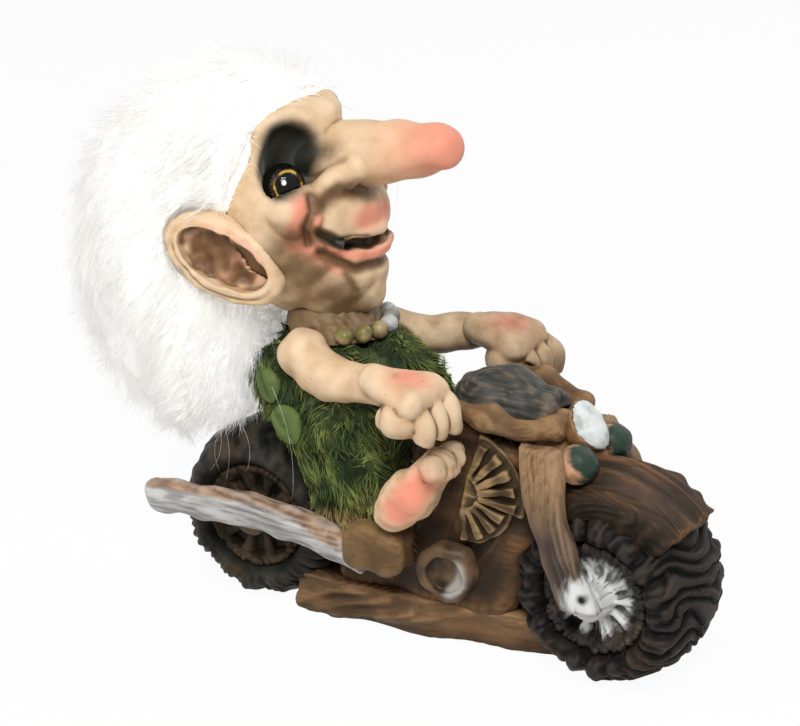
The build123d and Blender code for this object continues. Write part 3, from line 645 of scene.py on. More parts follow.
# The front mudguard hangs over the tyre like a hank of roots: long strands combed forwards over the
# crown, gathered at the steering head, with a ragged lower edge.
def combed_guard(spots):
    angle, radius, along = wheel_frame(spots, axle_of("front_wheel"), STEER_TURN)
    laid = np.stack([TYRE_RADIUS * angle, along, radius], axis=1)
    strands = grain_lines(laid, (1, 0.12, 0), 1.9, 51, wander=1.6)
    ragged = held((np.abs(along) - 12) / 5) * np.sin(15 * angle + 2 * np.sin(6 * angle))
    return 0.6 * strands - 0.2 + 0.5 * ripple(laid * (0.4, 1, 1), 12, 52, 2) + 0.8 * ragged


guard = cast("front_mudguard", "root_mudguard", 0.55, 11, combed_guard, depth=0.4)
along = wheel_frame(points_of(guard), axle_of("front_wheel"), STEER_TURN)[2]
keep(guard, "shade", held((np.abs(along) - 10) / 7))
guard_wood = root_paint(
    "guard_wood_paint", (0.020, 0.014, 0.010), (0.070, 0.038, 0.021), (0.28, 0.135, 0.055), brush=0.5)
settle(guard, guard_wood, "root_wood", "front_mudguard")

# Two fork legs, flat root straps from the yoke to the hub, tan at the top and going dark and then
# white where the hub's dry brush runs over them, round a dark dot painted as the shade of a small
# axle hole.
SIDES = {"right": -1, "left": 1}
HUB_DAUB_X, HUB_DAUB_Z = 58.5, 32.0
HUB_DAUB_RADIUS = 7.5
AXLE_HOLE = 1.3
leg_paint, ink = new_paint("fork_leg_paint")
coat = mixed(mark(ink, "upper"), (0.040, 0.031, 0.028), (0.27, 0.16, 0.08))
coat = mixed(faded(mottle(ink, 1.5, (1, 1, 0.2)), 0.45, 0.65) * 0.45, coat, (0.05, 0.03, 0.02))
coat = brushed(ink, coat, 0.45, (0.34, 0.22, 0.13))
coat = washed(ink, coat, 0.8)
daub = faded(mark(ink, "hub_daub") - 0.8 * mottle(ink, 1.6, (1, 1, 0.35), detail=8), -0.1, 0.45)
coat = mixed(daub, coat, (0.64, 0.64, 0.63))
# The axle hole is a dark dot of painted shade on the flat leg.
finish_paint(ink, mixed(mark(ink, "painted_hole_shade"), coat, DARK_WASH), 0.5, grit=0.1)
for side in SIDES:
    leg = cast(f"fork_leg_{side}", f"root_fork_leg_{side}", 0.45, 26, lambda spots: (
        0.4 * grain_lines(spots, (0.42, 0, -1), 1.6, 61) + 0.3 + 0.4 * ripple(spots, 12, 62, 2)),
        depth=0.35)
    spots = points_of(leg)
    from_hub = np.hypot(spots[:, 0] - HUB_DAUB_X, spots[:, 2] - HUB_DAUB_Z)
    keep(leg, "upper", held((spots[:, 2] - 46) / 16))
    keep(leg, "hub_daub", peak(from_hub, 0, HUB_DAUB_RADIUS))
    keep(leg, "painted_hole_shade", held(1.6 - from_hub / AXLE_HOLE))
    settle(leg, leg_paint, "root_wood", f"fork_leg_{side}")

# The handlebar is one bent root, thick in the middle and swept back to both grips. It is cast on
# top of the fork legs, with a boss of the same root under the yoke.
YOKE_BOSS = [((38, -2, 66), 6.0), ((38, 3, 66), 6.0)]
bar = cast("handlebar", "root_handlebar", 0.45, 4, lambda spots: (
    0.22 * grain_lines(spots, (0.8, -0.5, -0.2), 1.5, 71) + 0.2 + 0.9 * ripple(spots, 14, 72, 2)),
    depth=0.45, lumps=YOKE_BOSS)
bar_wood = root_paint(
    "bar_wood_paint", (0.095, 0.052, 0.024), (0.24, 0.135, 0.060), (0.40, 0.245, 0.12))
settle(bar, bar_wood, "root_wood", "handlebar")

# The headlamp is a wooden cup on a short bracket with a domed lens, dry-brushed white. Two round
# spot lamps sit under it against the fork, peach at the rim and green on top.
LAMP_BRACKET = [((48, 0, 63), 4.5)]
cup = cast("headlamp_cup", "root_headlamp_cup", 0.35, 5, lambda spots: (
    0.3 * ripple(spots, 8, 81, 2)), depth=0.3, lumps=LAMP_BRACKET)
cup_wood = root_paint("cup_wood_paint", (0.10, 0.05, 0.022), (0.28, 0.14, 0.058), (0.42, 0.24, 0.11))
settle(cup, cup_wood, "root_wood", "headlamp_cup")

lens = cast("headlamp_lens", "headlamp_lens_dome", 0.3, 6, lambda spots: (
    0.4 * ripple(spots, 8, 82, 2) + 0.2), depth=0.35)
lens_paint, ink = new_paint("lens_white_paint")
coat = two_tone(ink, 6, (0.34, 0.37, 0.35), (0.66, 0.69, 0.675), 0.3, 0.6, detail=7)
coat = mixed(faded(mark(ink, "hollow"), 0.2, 1.0) * 0.6, coat, (0.05, 0.06, 0.05))
finish_paint(ink, coat, 0.3, grit=0.06, coat=0.3)
settle(lens, lens_paint, "lamp_paint", "headlamp_lens")

spot_paint, ink = new_paint("spot_lamp_paint")
coat = mixed(faded(mottle(ink, 3), 0.4, 0.7) * 0.5, (0.56, 0.30, 0.17), (0.34, 0.17, 0.09))
coat = brushed(ink, coat, 0.4, (0.66, 0.40, 0.25))
green = faded(mark(ink, "green_top") + 0.3 * mottle(ink, 2, detail=6) - 0.15, 0.2, 0.75)
coat = mixed(green, coat, (0.024, 0.042, 0.03))
finish_paint(ink, washed(ink, coat, 0.8), 0.45, grit=0.08)
for side in SIDES:
    spot = cast(f"spot_lamp_{side}", f"round_spot_lamp_{side}", 0.35, 6, lambda spots: (
        0.2 * ripple(spots, 8, 83, 2) + 0.2 * grain_lines(spots, (0.6, 0, -1), 1.6, 85)), depth=0.25)
    spots = points_of(spot)
    low, high = box_of(f"spot_lamp_{side}")
    upper = ((spots - low) / (high - low)) @ (0.9, 0, 0.45) - 0.75
    keep(spot, "green_top", held(0.5 + 2.2 * upper + 0.12 * ripple(spots, 4, 84)))
    settle(spot, spot_paint, "lamp_paint", f"spot_lamp_{side}")

# The fuel tank is a teardrop cast on the engine behind the bar, painted a slaty green that has worn
# to brown along its ridges.
tank = cast("fuel_tank", "teardrop_tank", 0.5, 6, lambda spots: (
    0.5 * ripple(spots, 12, 91) + 0.25 * grain_lines(spots, (1, 0, 0), 2.2, 92) - 0.1))
tank_paint, ink = new_paint("slaty_tank_paint")
coat = two_tone(ink, 9, (0.028, 0.030, 0.028), (0.065, 0.062, 0.052))
worn = faded(mark(ink, "ridge") + 0.6 * mottle(ink, 5) - 0.35, 0.1, 0.9)
coat = mixed(worn * 0.6, coat, (0.16, 0.115, 0.08))
finish_paint(ink, washed(ink, coat, 0.8), 0.42, grit=0.1)
settle(tank, tank_paint, "tank_green", "fuel_tank")

# Fans of cooling ribs, an upper and a lower one, are cast flat on both sides of the engine. Their
# edges are tan and the grooves between the ribs are dark.
rib_paint = root_paint(
    "rib_paint", (0.045, 0.028, 0.014), (0.11, 0.066, 0.030), (0.42, 0.28, 0.13), brush=0.8)
for side in SIDES:
    for level in ("upper", "lower"):
        fan = cast(f"{level}_fan_{side}", f"{level}_rib_fan_{side}", 0.35, 7, lambda spots: (
            0.3 * ripple(spots, 9, 101, 2)), depth=0.6, rounds=20)
        settle(fan, rib_paint, "fan_ribs", f"{level}_fan_{side}")

# Round covers are cast low on both sides of the engine, brown and dished in the middle, with a worn
# silver crescent on the front of the dish.
DISH_RADIUS = 5.2
CRESCENT_WIDTH = 2.6
COVER_RADIUS = 9.5
cover_paint, ink = new_paint("cover_paint")
coat = two_tone(ink, 6, (0.045, 0.028, 0.015), (0.13, 0.078, 0.040))
coat = brushed(ink, coat, 0.4, (0.24, 0.15, 0.08))
coat = washed(ink, coat, 0.8)
crescent = faded(mark(ink, "silver") - 0.35 * mottle(ink, 2.2), 0.0, 0.6)
finish_paint(ink, mixed(crescent * 0.9, coat, (0.38, 0.365, 0.33)), 0.38, grit=0.1)
for side in SIDES:
    cover = cast(f"engine_cover_{side}", f"dished_cover_{side}", 0.4, 14, lambda spots: (
        0.5 * ripple(spots, 12, 111, 2)), depth=0.5)
    offset = points_of(cover) - box_of(f"engine_cover_{side}").mean(axis=0)
    reach = np.hypot(offset[:, 0], offset[:, 2])
    forward = offset @ (0.95, 0, -0.3) / COVER_RADIUS
    keep(cover, "silver", held(2.2 * forward) * peak(reach, DISH_RADIUS, CRESCENT_WIDTH))
    settle(cover, cover_paint, "silver_wash", f"engine_cover_{side}")

# The exhaust is a flattened pipe cast along the right side from the footboard, silver dragged along
# its grain, brown along its upper edge and towards its front end.
PIPE_SLICE = 3
pipe = cast("exhaust_pipe", "silvered_exhaust", 0.4, 5, lambda spots: (
    0.5 * grain_lines(spots, (1, 0, -0.04), 2.4, 121, wander=0.8) - 0.2 + 0.4 * ripple(spots, 14, 122)),
    depth=0.25)
spots = points_of(pipe)
slices = np.round((spots[:, 0] - spots[:, 0].min()) / PIPE_SLICE).astype(int)
tops, bottoms = np.full((2, slices.max() + 1), np.nan)
for number in range(slices.max() + 1):
    heights = spots[slices == number, 2]
    tops[number], bottoms[number] = heights.max(), heights.min()
rise = (spots[:, 2] - bottoms[slices]) / (tops[slices] - bottoms[slices])
keep(pipe, "upward", held((rise - 0.68) / 0.25 + held((spots[:, 0] + 40) / 16)))
pipe_paint, ink = new_paint("silver_pipe_paint")
coat = two_tone(
    ink, 1.6, (0.22, 0.21, 0.20), (0.47, 0.46, 0.445), 0.36, 0.62, stretch=(0.1, 1, 1), detail=5)
coat = mixed(faded(mottle(ink, 0.9, (0.07, 1, 1)), 0.6, 0.7) * 0.6, coat, (0.10, 0.085, 0.07))
brown_edge = two_tone(ink, 4, (0.17, 0.088, 0.04), (0.36, 0.21, 0.11), 0.4, 0.65)
edged = faded(mark(ink, "upward") + 0.3 * mottle(ink, 8) - 0.15, 0.3, 0.8)
coat = mixed(edged * 0.9, coat, brown_edge)
coat = brushed(ink, coat, 0.3, (0.62, 0.6, 0.58))
finish_paint(ink, washed(ink, coat, 0.75, (0.05, 0.04, 0.032)), 0.4, grit=0.1)
settle(pipe, pipe_paint, "silver_wash", "exhaust_pipe")

# Footboards are short rounded blocks of root, cast on the engine under the heels and painted tan
# with fine grain.
board_wood = root_paint(
    "board_wood_paint", (0.10, 0.056, 0.025), (0.23, 0.135, 0.060), (0.34, 0.22, 0.10), patch=10)
for side in SIDES:
    board = cast(f"footboard_{side}", f"root_footboard_{side}", 0.45, 4, lambda spots: (
        0.6 * ripple(spots, 15, 131, 2) + 0.12 * grain_lines(spots, (1, 0, -0.2), 1.4, 132)), depth=0.6)
    settle(board, board_wood, "root_wood", f"footboard_{side}")


# The dress is moss: a green casting combed downwards in hanks, covered with fine strands that gather
# in pointed clumps, dark at their roots, yellow-green where the light falls and straw at the hem.
def template_of(sides, cuts, blunt):
    """A tapered spike one unit long and one unit in radius, cut across so that it can bend."""
    spike = added(
        bpy.ops.mesh.primitive_cone_add,
        vertices=sides, radius1=1, radius2=blunt, depth=1, location=(0, 0, 0.5), end_fill_type="TRIFAN")
    bpy.ops.object.transform_apply(location=True)
    bpy.ops.object.mode_set(mode="EDIT")
    for cut in range(1, cuts + 1):
        bpy.ops.mesh.select_all(action="SELECT")
        bpy.ops.mesh.bisect(plane_co=(0, 0, cut / (cuts + 1)), plane_no=(0, 0, 1))
    bpy.ops.mesh.select_all(action="SELECT")
    bpy.ops.mesh.quads_convert_to_tris()
    bpy.ops.object.mode_set(mode="OBJECT")
    shape = read(spike.data.vertices, "co")
    corners = np.array([list(face.vertices) for face in spike.data.polygons])
    bpy.data.objects.remove(spike)
    return shape, corners


def unit(ways):
    """Each row made one unit long."""
    return ways / np.maximum(np.linalg.norm(ways, axis=1, keepdims=True), TINY)


def sow(name, template, roots, bends, tips, faces_up, widths, thickness=1.0):
    """One mesh of many spikes, each bent along its root, bend and tip, flat to its surface."""
    shape, corners = template
    high = shape[:, 2][None, :, None]
    spine = (1 - high) ** 2 * roots[:, None] + high**2 * tips[:, None]
    spine += 2 * high * (1 - high) * bends[:, None]
    across = unit(np.cross(tips - roots, faces_up))
    up = unit(np.cross(across, tips - roots))
    fat = widths[:, None, None]
    points = (
        spine
        + across[:, None] * shape[None, :, :1] * fat
        + up[:, None] * shape[None, :, 1:2] * fat * thickness
    )
    count, size = points.shape[:2]
    faces = (corners[None] + size * np.arange(count)[:, None, None]).reshape(-1, 3)
    mesh = bpy.data.meshes.new(name)
    mesh.from_pydata(points.reshape(-1, 3) / 1000, [], faces)
    mesh.update()
    piece = bpy.data.objects.new(name, mesh)
    scene.collection.objects.link(piece)
    keep(piece, "tip", np.tile(shape[:, 2], count))
    edit_all(piece, bpy.ops.mesh.normals_make_consistent, inside=False)
    return piece


def scattered(piece, count, luck, wanted=None):
    """Random points on a piece's faces, by area, with their normals; wanted says which may stay."""
    faces = piece.data.polygons
    middles = 1000 * read(faces, "center")
    normals = read(faces, "normal")
    weights = read(faces, "area", 1)[:, 0]
    if wanted is not None:
        weights = weights * wanted(middles, normals)
    chosen = luck.choice(len(weights), size=count, p=weights / weights.sum())
    return middles[chosen], normals[chosen]


def laid_flat(normals, flow):
    """The flow laid flat on the surface, one unit long."""
    return unit(flow - normals * (flow * normals).sum(axis=1, keepdims=True))


def gathered(roots, tips, clumps, share):
    """Tips drawn towards that of the nearest of the first few strands, and that one's number."""
    nearest = ((roots[:, None] - roots[None, :clumps]) ** 2).sum(axis=2).argmin(axis=1)
    return (1 - share) * tips + share * tips[nearest], nearest


def hem_of(spots):
    """Where the moss turns to straw, towards the lower edge."""
    return held((47 - spots[:, 2]) / 13 + 0.2 * ripple(spots, 9, 145))


def sunlit(spots):
    """Where the moss is painted yellow-green, in soft patches towards the front."""
    return held(0.4 + 0.6 * ripple(spots, 17, 144, 2) + (spots[:, 0] + 30) / 90)


MOSS_PIECES = 2
MOSS_STRANDS = 6400
MOSS_CLUMPS = 420
MOSS_FALL = (0.4, 0, -1)
MOSS_SUNK = 1.3
MOSS_LOWEST_ROOT = 29
MOSS_LOWEST_TIP = 23
dress = cast("moss_dress", "combed_dress", 0.7, 5, lambda spots: (
    0.7 * grain_lines(spots, (0.25, 0, -1), 2.4, 141) - MOSS_SUNK + 0.7 * ripple(spots, 9, 142)),
    depth=0.4)
spots = points_of(dress)
keep(dress, "tip", np.full(len(spots), 0.1))
keep(dress, "hem", hem_of(spots))
keep(dress, "sun", sunlit(spots))

moss_paint, ink = new_paint("moss_green_paint")
towards_tip = mark(ink, "tip") + 0.5 * mottle(ink, 3) - 0.25
deep = mixed(mark(ink, "sun"), (0.017, 0.028, 0.010), (0.040, 0.056, 0.016))
bright = mixed(mark(ink, "sun"), (0.068, 0.105, 0.032), (0.31, 0.35, 0.095))
coat = mixed(faded(towards_tip, 0.05, 0.8), deep, bright)
coat = washed(ink, coat, 0.7, (0.008, 0.012, 0.005))
straw = mixed(faded(towards_tip, 0.1, 0.8), (0.10, 0.065, 0.025), (0.44, 0.32, 0.13))
coat = mixed(faded(mark(ink, "hem") + 0.3 * mottle(ink, 6) - 0.15, 0.2, 0.9), coat, straw)
finish_paint(ink, coat, 0.6 + 0.2 * mottle(ink, 4), grit=0.1, grit_size=0.5)
settle(dress, moss_paint, "moss_green", "moss_dress")

luck = np.random.default_rng(143)
blade = template_of(3, 1, 0.15)
for number in range(MOSS_PIECES):
    roots, normals = scattered(dress, MOSS_STRANDS, luck, lambda spots, normals: (
        (spots[:, 2] > MOSS_LOWEST_ROOT) * (normals[:, 2] > -0.5)))
    turned = np.stack([ripple(roots, 15, seed, 2) for seed in (146, 147, 148)], axis=1)
    flow = laid_flat(normals, MOSS_FALL + 0.75 * turned + 0.12 * luck.normal(size=roots.shape))
    length = luck.uniform(3.5, 7.0, len(roots))[:, None]
    tips = roots + length * flow + luck.uniform(0.3, 1.2, len(roots))[:, None] * normals
    tips, clump = gathered(roots, tips, MOSS_CLUMPS, 0.5)
    bends = (roots + tips) / 2 + luck.uniform(0.5, 1.2, len(roots))[:, None] * normals
    tips[:, 2] = np.maximum(tips[:, 2], MOSS_LOWEST_TIP)
    moss = sow(f"moss_strands_{number + 1}", blade, roots - 0.6 * normals, bends, tips, normals,
               luck.uniform(0.24, 0.42, len(roots)), thickness=0.6)
    points = points_of(moss)
    tuft_light = np.repeat(luck.normal(0, 0.22, MOSS_CLUMPS)[clump], len(blade[0]))
    keep(moss, "hem", hem_of(points))
    keep(moss, "sun", held(sunlit(points) + tuft_light))
    settle(moss, moss_paint, "moss_green")

# Two smooth leaves lie half sunk in the moss at the hip, cast with the dress and painted a plainer
# green. Each is a flat dome with a folded midrib.
LEAVES = (
    ((-39.0, -22.2, 64.0), (0.75, -0.25, -0.65), 6.5),
    ((-47.0, -19.4, 74.0), (0.55, -0.3, -0.75), 5.5),
)
LEAF_FACING = ((-0.2, -1.0, 0.2),)
LEAF_WIDTH = 0.8
LEAF_WASH_DEPTH = 0.2
leaf_paint, ink = new_paint("leaf_green_paint")
coat = two_tone(ink, 5, (0.026, 0.052, 0.013), (0.085, 0.125, 0.030))
coat = brushed(ink, coat, 0.3, (0.15, 0.18, 0.045))
finish_paint(ink, washed(ink, coat, 0.7, (0.02, 0.04, 0.012)), 0.5, grit=0.06)
for number, (place, way, half) in enumerate(LEAVES):
    leaf = added(bpy.ops.mesh.primitive_uv_sphere_add, segments=48, ring_count=32, radius=0.001)
    leaf.name = f"hip_leaf_{number + 1}"
    ahead = np.array(way) / np.linalg.norm(way)
    out = laid_flat(ahead[None], np.array(LEAF_FACING))[0]
    across = LEAF_WIDTH * np.cross(out, ahead)
    length, width, rise = points_of(leaf)[:, [2, 0, 1]].T
    narrowed = width * (1 - 0.35 * held(length) ** 2)
    domed = 0.28 * rise + 0.25 * (1 - narrowed**2) - 0.08 * peak(narrowed, 0, 0.15)
    shape = np.outer(length, ahead) + np.outer(narrowed, across) + np.outer(domed, out)
    move_points(leaf, place + half * shape)
    edit_all(leaf, bpy.ops.mesh.normals_make_consistent, inside=False)
    relief(leaf, LEAF_WASH_DEPTH)
    settle(leaf, leaf_paint, "moss_green")


# Bust, arms, feet, head and ears are castings in cream skin, airbrushed pink on what sticks out and
# olive-brown in every fold. The bust is all in brown shade, under the chin.
def skin_masks(piece, pink=0, olive=0, soot=0, wash_depth=0.35, rounds=16):
    """Stores where the airbrush laid pink, olive-brown and black, and the hollows for the wash."""
    relief(piece, wash_depth, rounds)
    nothing = np.zeros(len(piece.data.vertices))
    keep(piece, "pink", nothing + pink)
    keep(piece, "olive", nothing + olive)
    keep(piece, "soot", nothing + soot)


skin_paint, ink = new_paint("troll_skin_paint")
coat = two_tone(ink, 16, (0.60, 0.41, 0.235), (0.70, 0.51, 0.325), detail=3)
coat = mixed(faded(mottle(ink, 6, detail=8), 0.42, 0.75) * 0.5, coat, (0.42, 0.245, 0.11))
coat = brushed(ink, coat, 0.35, (0.80, 0.65, 0.47))
blushed = faded(mark(ink, "pink") + 0.25 * mottle(ink, 4) - 0.12, 0.05, 0.95)
coat = mixed(blushed * 0.9, coat, (0.74, 0.245, 0.16))
dusty = faded(mark(ink, "olive") + 0.6 * mottle(ink, 4, detail=6) - 0.3, 0.05, 0.95)
coat = mixed(dusty * 0.9, coat, (0.13, 0.072, 0.027))
coat = mixed(faded(mark(ink, "hollow"), 0.1, 1.0) * 0.8, coat, (0.11, 0.052, 0.022))
freckles = faded(mottle(ink, 1.1, detail=2), 0.68, 0.76) * faded(mottle(ink, 8), 0.45, 0.62)
coat = mixed(freckles * 0.5, coat, (0.22, 0.11, 0.05))
sooty = faded(mark(ink, "soot") + 0.2 * mottle(ink, 4) - 0.1, 0.05, 0.85)
finish_paint(ink, mixed(sooty, coat, (0.012, 0.012, 0.008)), 0.5, grit=0.07, gloss=0.25)

bust = clay_copy("bust", "bare_bust", 0.5, 5)
press(bust, 0.4 * ripple(points_of(bust), 7, 151))
skin_masks(bust, olive=1.15)
settle(bust, skin_paint, "troll_skin", "bust")

GRIP_BEHIND_FINGERS = 10
GRIP_ASIDE = 28
GRIP_HEIGHT = 77
PALM_RADIUS = 6.3
# The far arm is painted a little olive-brown all over, as painted shade.
ARM_PAINTED_SHADE = {"right": 0.0, "left": 0.45}


def dab(points, place, radius):
    """1 at a place, fading out over a radius."""
    return stroke(points, (place, place), radius)


for side, sign in SIDES.items():
    fingertips = box_of(f"arm_{side}")[1, 0]
    grip = np.array([fingertips - GRIP_BEHIND_FINGERS, sign * GRIP_ASIDE, GRIP_HEIGHT])
    palm = [(grip + (-2, aside, 1), PALM_RADIUS) for aside in (-6, -3, 0, 3, 6)]
    back_of_hand = [
        (grip + (14 * share - 13, aside * share, 8 - 2 * share), 5.0 - 0.6 * share)
        for share in np.linspace(0, 1, 8) for aside in (-7.5, -5, -2.5, 0, 2.5, 5, 7.5)
    ]
    arm = clay_copy(f"arm_{side}", f"bare_arm_{side}", 0.45, 14, palm + back_of_hand)
    press(arm, 0.4 * ripple(points_of(arm), 14, 161, 2))
    spots = points_of(arm)
    # Painted shade: olive-brown on the faces that turn downwards, a little more along the upper arm.
    under = held(-normals_of(arm)[:, 2])
    fingers = held((spots[:, 0] - grip[0] + 2) / 6) * held((GRIP_HEIGHT + 5 - spots[:, 2]) / 8)
    upper_arm = held((grip[0] - 22 - spots[:, 0]) / 20)
    skin_masks(
        arm,
        pink=0.75 * dab(spots, grip + (-3, 0, 10), 8),
        olive=ARM_PAINTED_SHADE[side] + 0.45 * under + 0.3 * fingers + 0.15 * upper_arm * under,
        wash_depth=0.22,
    )
    settle(arm, skin_paint, "troll_skin", f"arm_{side}")

    foot = clay_copy(f"foot_{side}", f"bare_foot_{side}", 0.45, 7)
    press(foot, 0.35 * ripple(points_of(foot), 9, 162))
    spots = points_of(foot)
    sole = box_of(f"foot_{side}").mean(axis=0) + (0, 8 * sign, 0)
    skin_masks(
        foot,
        pink=stroke(spots, (sole + (-3, 0, -5), sole + (6, 0, 6)), 6.5),
        olive=0.4 * held((spots[:, 2] - 59) / 7),
    )
    settle(foot, skin_paint, "troll_skin", f"foot_{side}")

# The head is one casting, tipped back, with a long nose, sunk eye sockets and a cut mouth. Creases
# and paint are strokes laid out as seen from the near front, so that each lands on whatever clay lies
# behind it. Their places are in mm in the frame of the head, ahead and up at one distance out.
HEAD_MIDDLE = np.array([-48.0, 0.0, 124.0])
HEAD_PITCH = math.radians(12)
HEAD_AHEAD = np.array([math.cos(HEAD_PITCH), 0, math.sin(HEAD_PITCH)])
HEAD_ASIDE = np.array([0.0, 1.0, 0.0])
HEAD_UP = np.array([-math.sin(HEAD_PITCH), 0, math.cos(HEAD_PITCH)])
FACE_FRONT = np.array([0.502, 0.830, 0.243])
STROKE_OUT = 14
UNDER_WING = ((16.5, 2.4), (24.1, 6.2), (33, 5.5))
CHEEK = ((6.0, -0.6), (6.0, -0.6))
CHEEK_BLUSH = ((11, 2), (10, -2.5), (6.5, -8))
SMILE_BLUSH = ((7, -9), (12, -13), (19, -17))
CHEEK_CREASE = ((14.1, 5.0), (14.1, -0.3), (10.4, -5.2), (10.2, -9))
CORNER_FOLD = ((15.2, -1.9), (12.4, -6.1), (14.6, -10))
MOUTH_LINE = ((14.2, -6.5), (20.7, -9.4), (29.8, -8.8))
MOUTH_CORNER = ((18.5, -9.0), (22.5, -10.2))
LOWER_LIP = ((18.0, -11.2), (26.5, -13.1), (36.2, -11.2))
LIP_TOP = ((19.0, -10.2), (26.8, -11.6), (33.5, -10.6))
LIP_TIP = ((29.0, -12.6), (36.2, -11.2))
UPPER_LIP = ((30.0, -2.5), (33.2, -0.5))
UNDER_LIP = ((13.8, -12.3), (23.9, -16.9), (33, -15.2))
CHIN_CREASE = ((20.8, -18.6), (22.5, -23.2))
JAW = ((2, -10), (5.3, -16.3), (11.2, -21.5), (18, -26))
SOCKET_RUN = ((5.0, 12), (11, 19))
BRIDGE_RUN = ((14, 17.5), (23, 18.5))
# The brow, the inside of the mouth and the socket lie on the clay itself: ahead, out and up.
BROW = ((12, 11, 31), (5, 18, 27.5), (0, 23, 19), (1, 25, 10), (5, 25.5, 4.5))
MOUTH_INSIDE = ((17, 13, -9.5), (27, 7, -9.5), (33, 0, -9.5))
SOCKET_PLACE = (16, 19, 17)
SOCKET_EDGE = 16
CREASES = (
    (UNDER_WING, 2.4, -1.2), (CHEEK, 6.5, 1.8), (CHEEK_CREASE, 1.5, -2.4), (CORNER_FOLD, 1.3, 1.2),
    (MOUTH_LINE, 1.4, -2.2), (LIP_TOP, 1.7, 1.3), (LIP_TIP, 2.2, -0.9), (UNDER_LIP, 1.3, -1.6),
    (CHIN_CREASE, 1.2, -0.9),
)
BLUSHES = (
    (LOWER_LIP, 2.2, 0.8), (UPPER_LIP, 3.8, 0.8), (CORNER_FOLD, 1.8, 0.6), (CHEEK_BLUSH, 3.8, 0.9),
    (SMILE_BLUSH, 3.2, 0.65),
)
SHADES = (
    (UNDER_WING, 3.0, 0.95), (MOUTH_LINE, 1.8, 1.5), (UNDER_LIP, 1.6, 0.9), (CHEEK_CREASE, 1.4, 0.8),
    (CHIN_CREASE, 1.4, 0.4), (JAW, 8.0, 0.6), (BRIDGE_RUN, 4.5, 0.65),
)
SOOT = ((BRIDGE_RUN, 3.0, 0.15), (MOUTH_LINE, 1.3, 0.7), (MOUTH_CORNER, 1.5, 0.7))
SOCKET_SOOT = ((SOCKET_RUN, 8.5, 1.7),)


def half_face(points):
    """Places in the frame of the head: towards the nose, out from the middle, to the crown."""
    offset = points - HEAD_MIDDLE
    return np.stack([offset @ HEAD_AHEAD, np.abs(offset @ HEAD_ASIDE), offset @ HEAD_UP], axis=1)


def face_of(piece):
    """Each point's place on the half face, and how far it faces the near front."""
    spots, normals = points_of(piece), normals_of(piece)
    outward = np.where(spots[:, 1] < HEAD_MIDDLE[1], -1, 1)
    turned = np.stack([normals @ HEAD_AHEAD, outward * normals[:, 1], normals @ HEAD_UP], axis=1)
    return half_face(spots), held(3 * (turned @ FACE_FRONT) + 0.3)


def face_strokes(place, facing, strokes):
    """Strokes on what faces the near front, at any depth: each a path, a width and a strength."""
    flat = place - np.outer(place @ FACE_FRONT, FACE_FRONT)
    total = np.zeros(len(place))
    for path, width, strength in strokes:
        path = np.array([(ahead, STROKE_OUT, up) for ahead, up in path], dtype=float)
        total += strength * stroke(flat, path - np.outer(path @ FACE_FRONT, FACE_FRONT), width)
    return facing * total


EAR_PLACE = (-9.0, 31.0, -8.0)
EAR_YAW = math.radians(20)
EAR_TILT = math.radians(-40)
EAR_HALVES = (19.0, 11.5)


def ear_frame(place):
    """Places on the half head along and across the ear: 0 in its middle and 1 on its edge."""
    ahead = np.array([math.cos(EAR_YAW), -math.sin(EAR_YAW), 0])
    along = ahead * math.cos(EAR_TILT) + (0, 0, math.sin(EAR_TILT))
    across = -ahead * math.sin(EAR_TILT) + (0, 0, math.cos(EAR_TILT))
    offset = place - EAR_PLACE
    return offset @ along / EAR_HALVES[0], offset @ across / EAR_HALVES[1]


head = clay_copy("head", "carved_head", 0.5, 12)
place, facing = face_of(head)
brow = 1.6 * stroke(place, BROW, 2.6)
press(head, 0.35 * ripple(points_of(head), 12, 171, 2) + brow + face_strokes(place, facing, CREASES))
edit_all(head, bpy.ops.mesh.vertices_smooth, factor=0.5, repeat=2)

place, facing = face_of(head)
ahead = place[:, 0]
# Painted shade: olive-brown on the downward faces of the head behind the nose, under the jaw.
under_chin_shade = 0.45 * held(-normals_of(head) @ HEAD_UP) * held((24 - ahead) / 6)
# Painted shade: olive-brown, with a little pink, on the head behind the ear, where the ear meets it.
behind_ear = held((0.8 - np.hypot(*ear_frame(place))) / 0.15) * (place[:, 1] > 15)
in_socket = held((SOCKET_EDGE - np.linalg.norm(place - SOCKET_PLACE, axis=1)) / 3.5)
socket_soot = held(face_strokes(place, facing, SOCKET_SOOT)) * in_socket * held(1.35 - 0.045 * ahead)
mouth_soot = (1 - facing) * stroke(place, MOUTH_INSIDE, 3.5)
skin_masks(
    head,
    pink=0.85 * held((ahead - 24) / 32) + face_strokes(place, facing, BLUSHES) + 0.4 * behind_ear,
    olive=face_strokes(place, facing, SHADES) + under_chin_shade + 1.1 * behind_ear,
    soot=socket_soot + face_strokes(place, facing, SOOT) + mouth_soot,
    wash_depth=0.5,
    rounds=24,
)
settle(head, skin_paint, "troll_skin", "head")


# The ears are cast in the same skin and set against the head: a thick rolled rim with a fold inside
# its lower edge, round a sunk bowl that is airbrushed brown.
def head_place(place, sign):
    """A point given in the tipped frame of the head, on one side."""
    return HEAD_MIDDLE + place[0] * HEAD_AHEAD + sign * place[1] * HEAD_ASIDE + place[2] * HEAD_UP


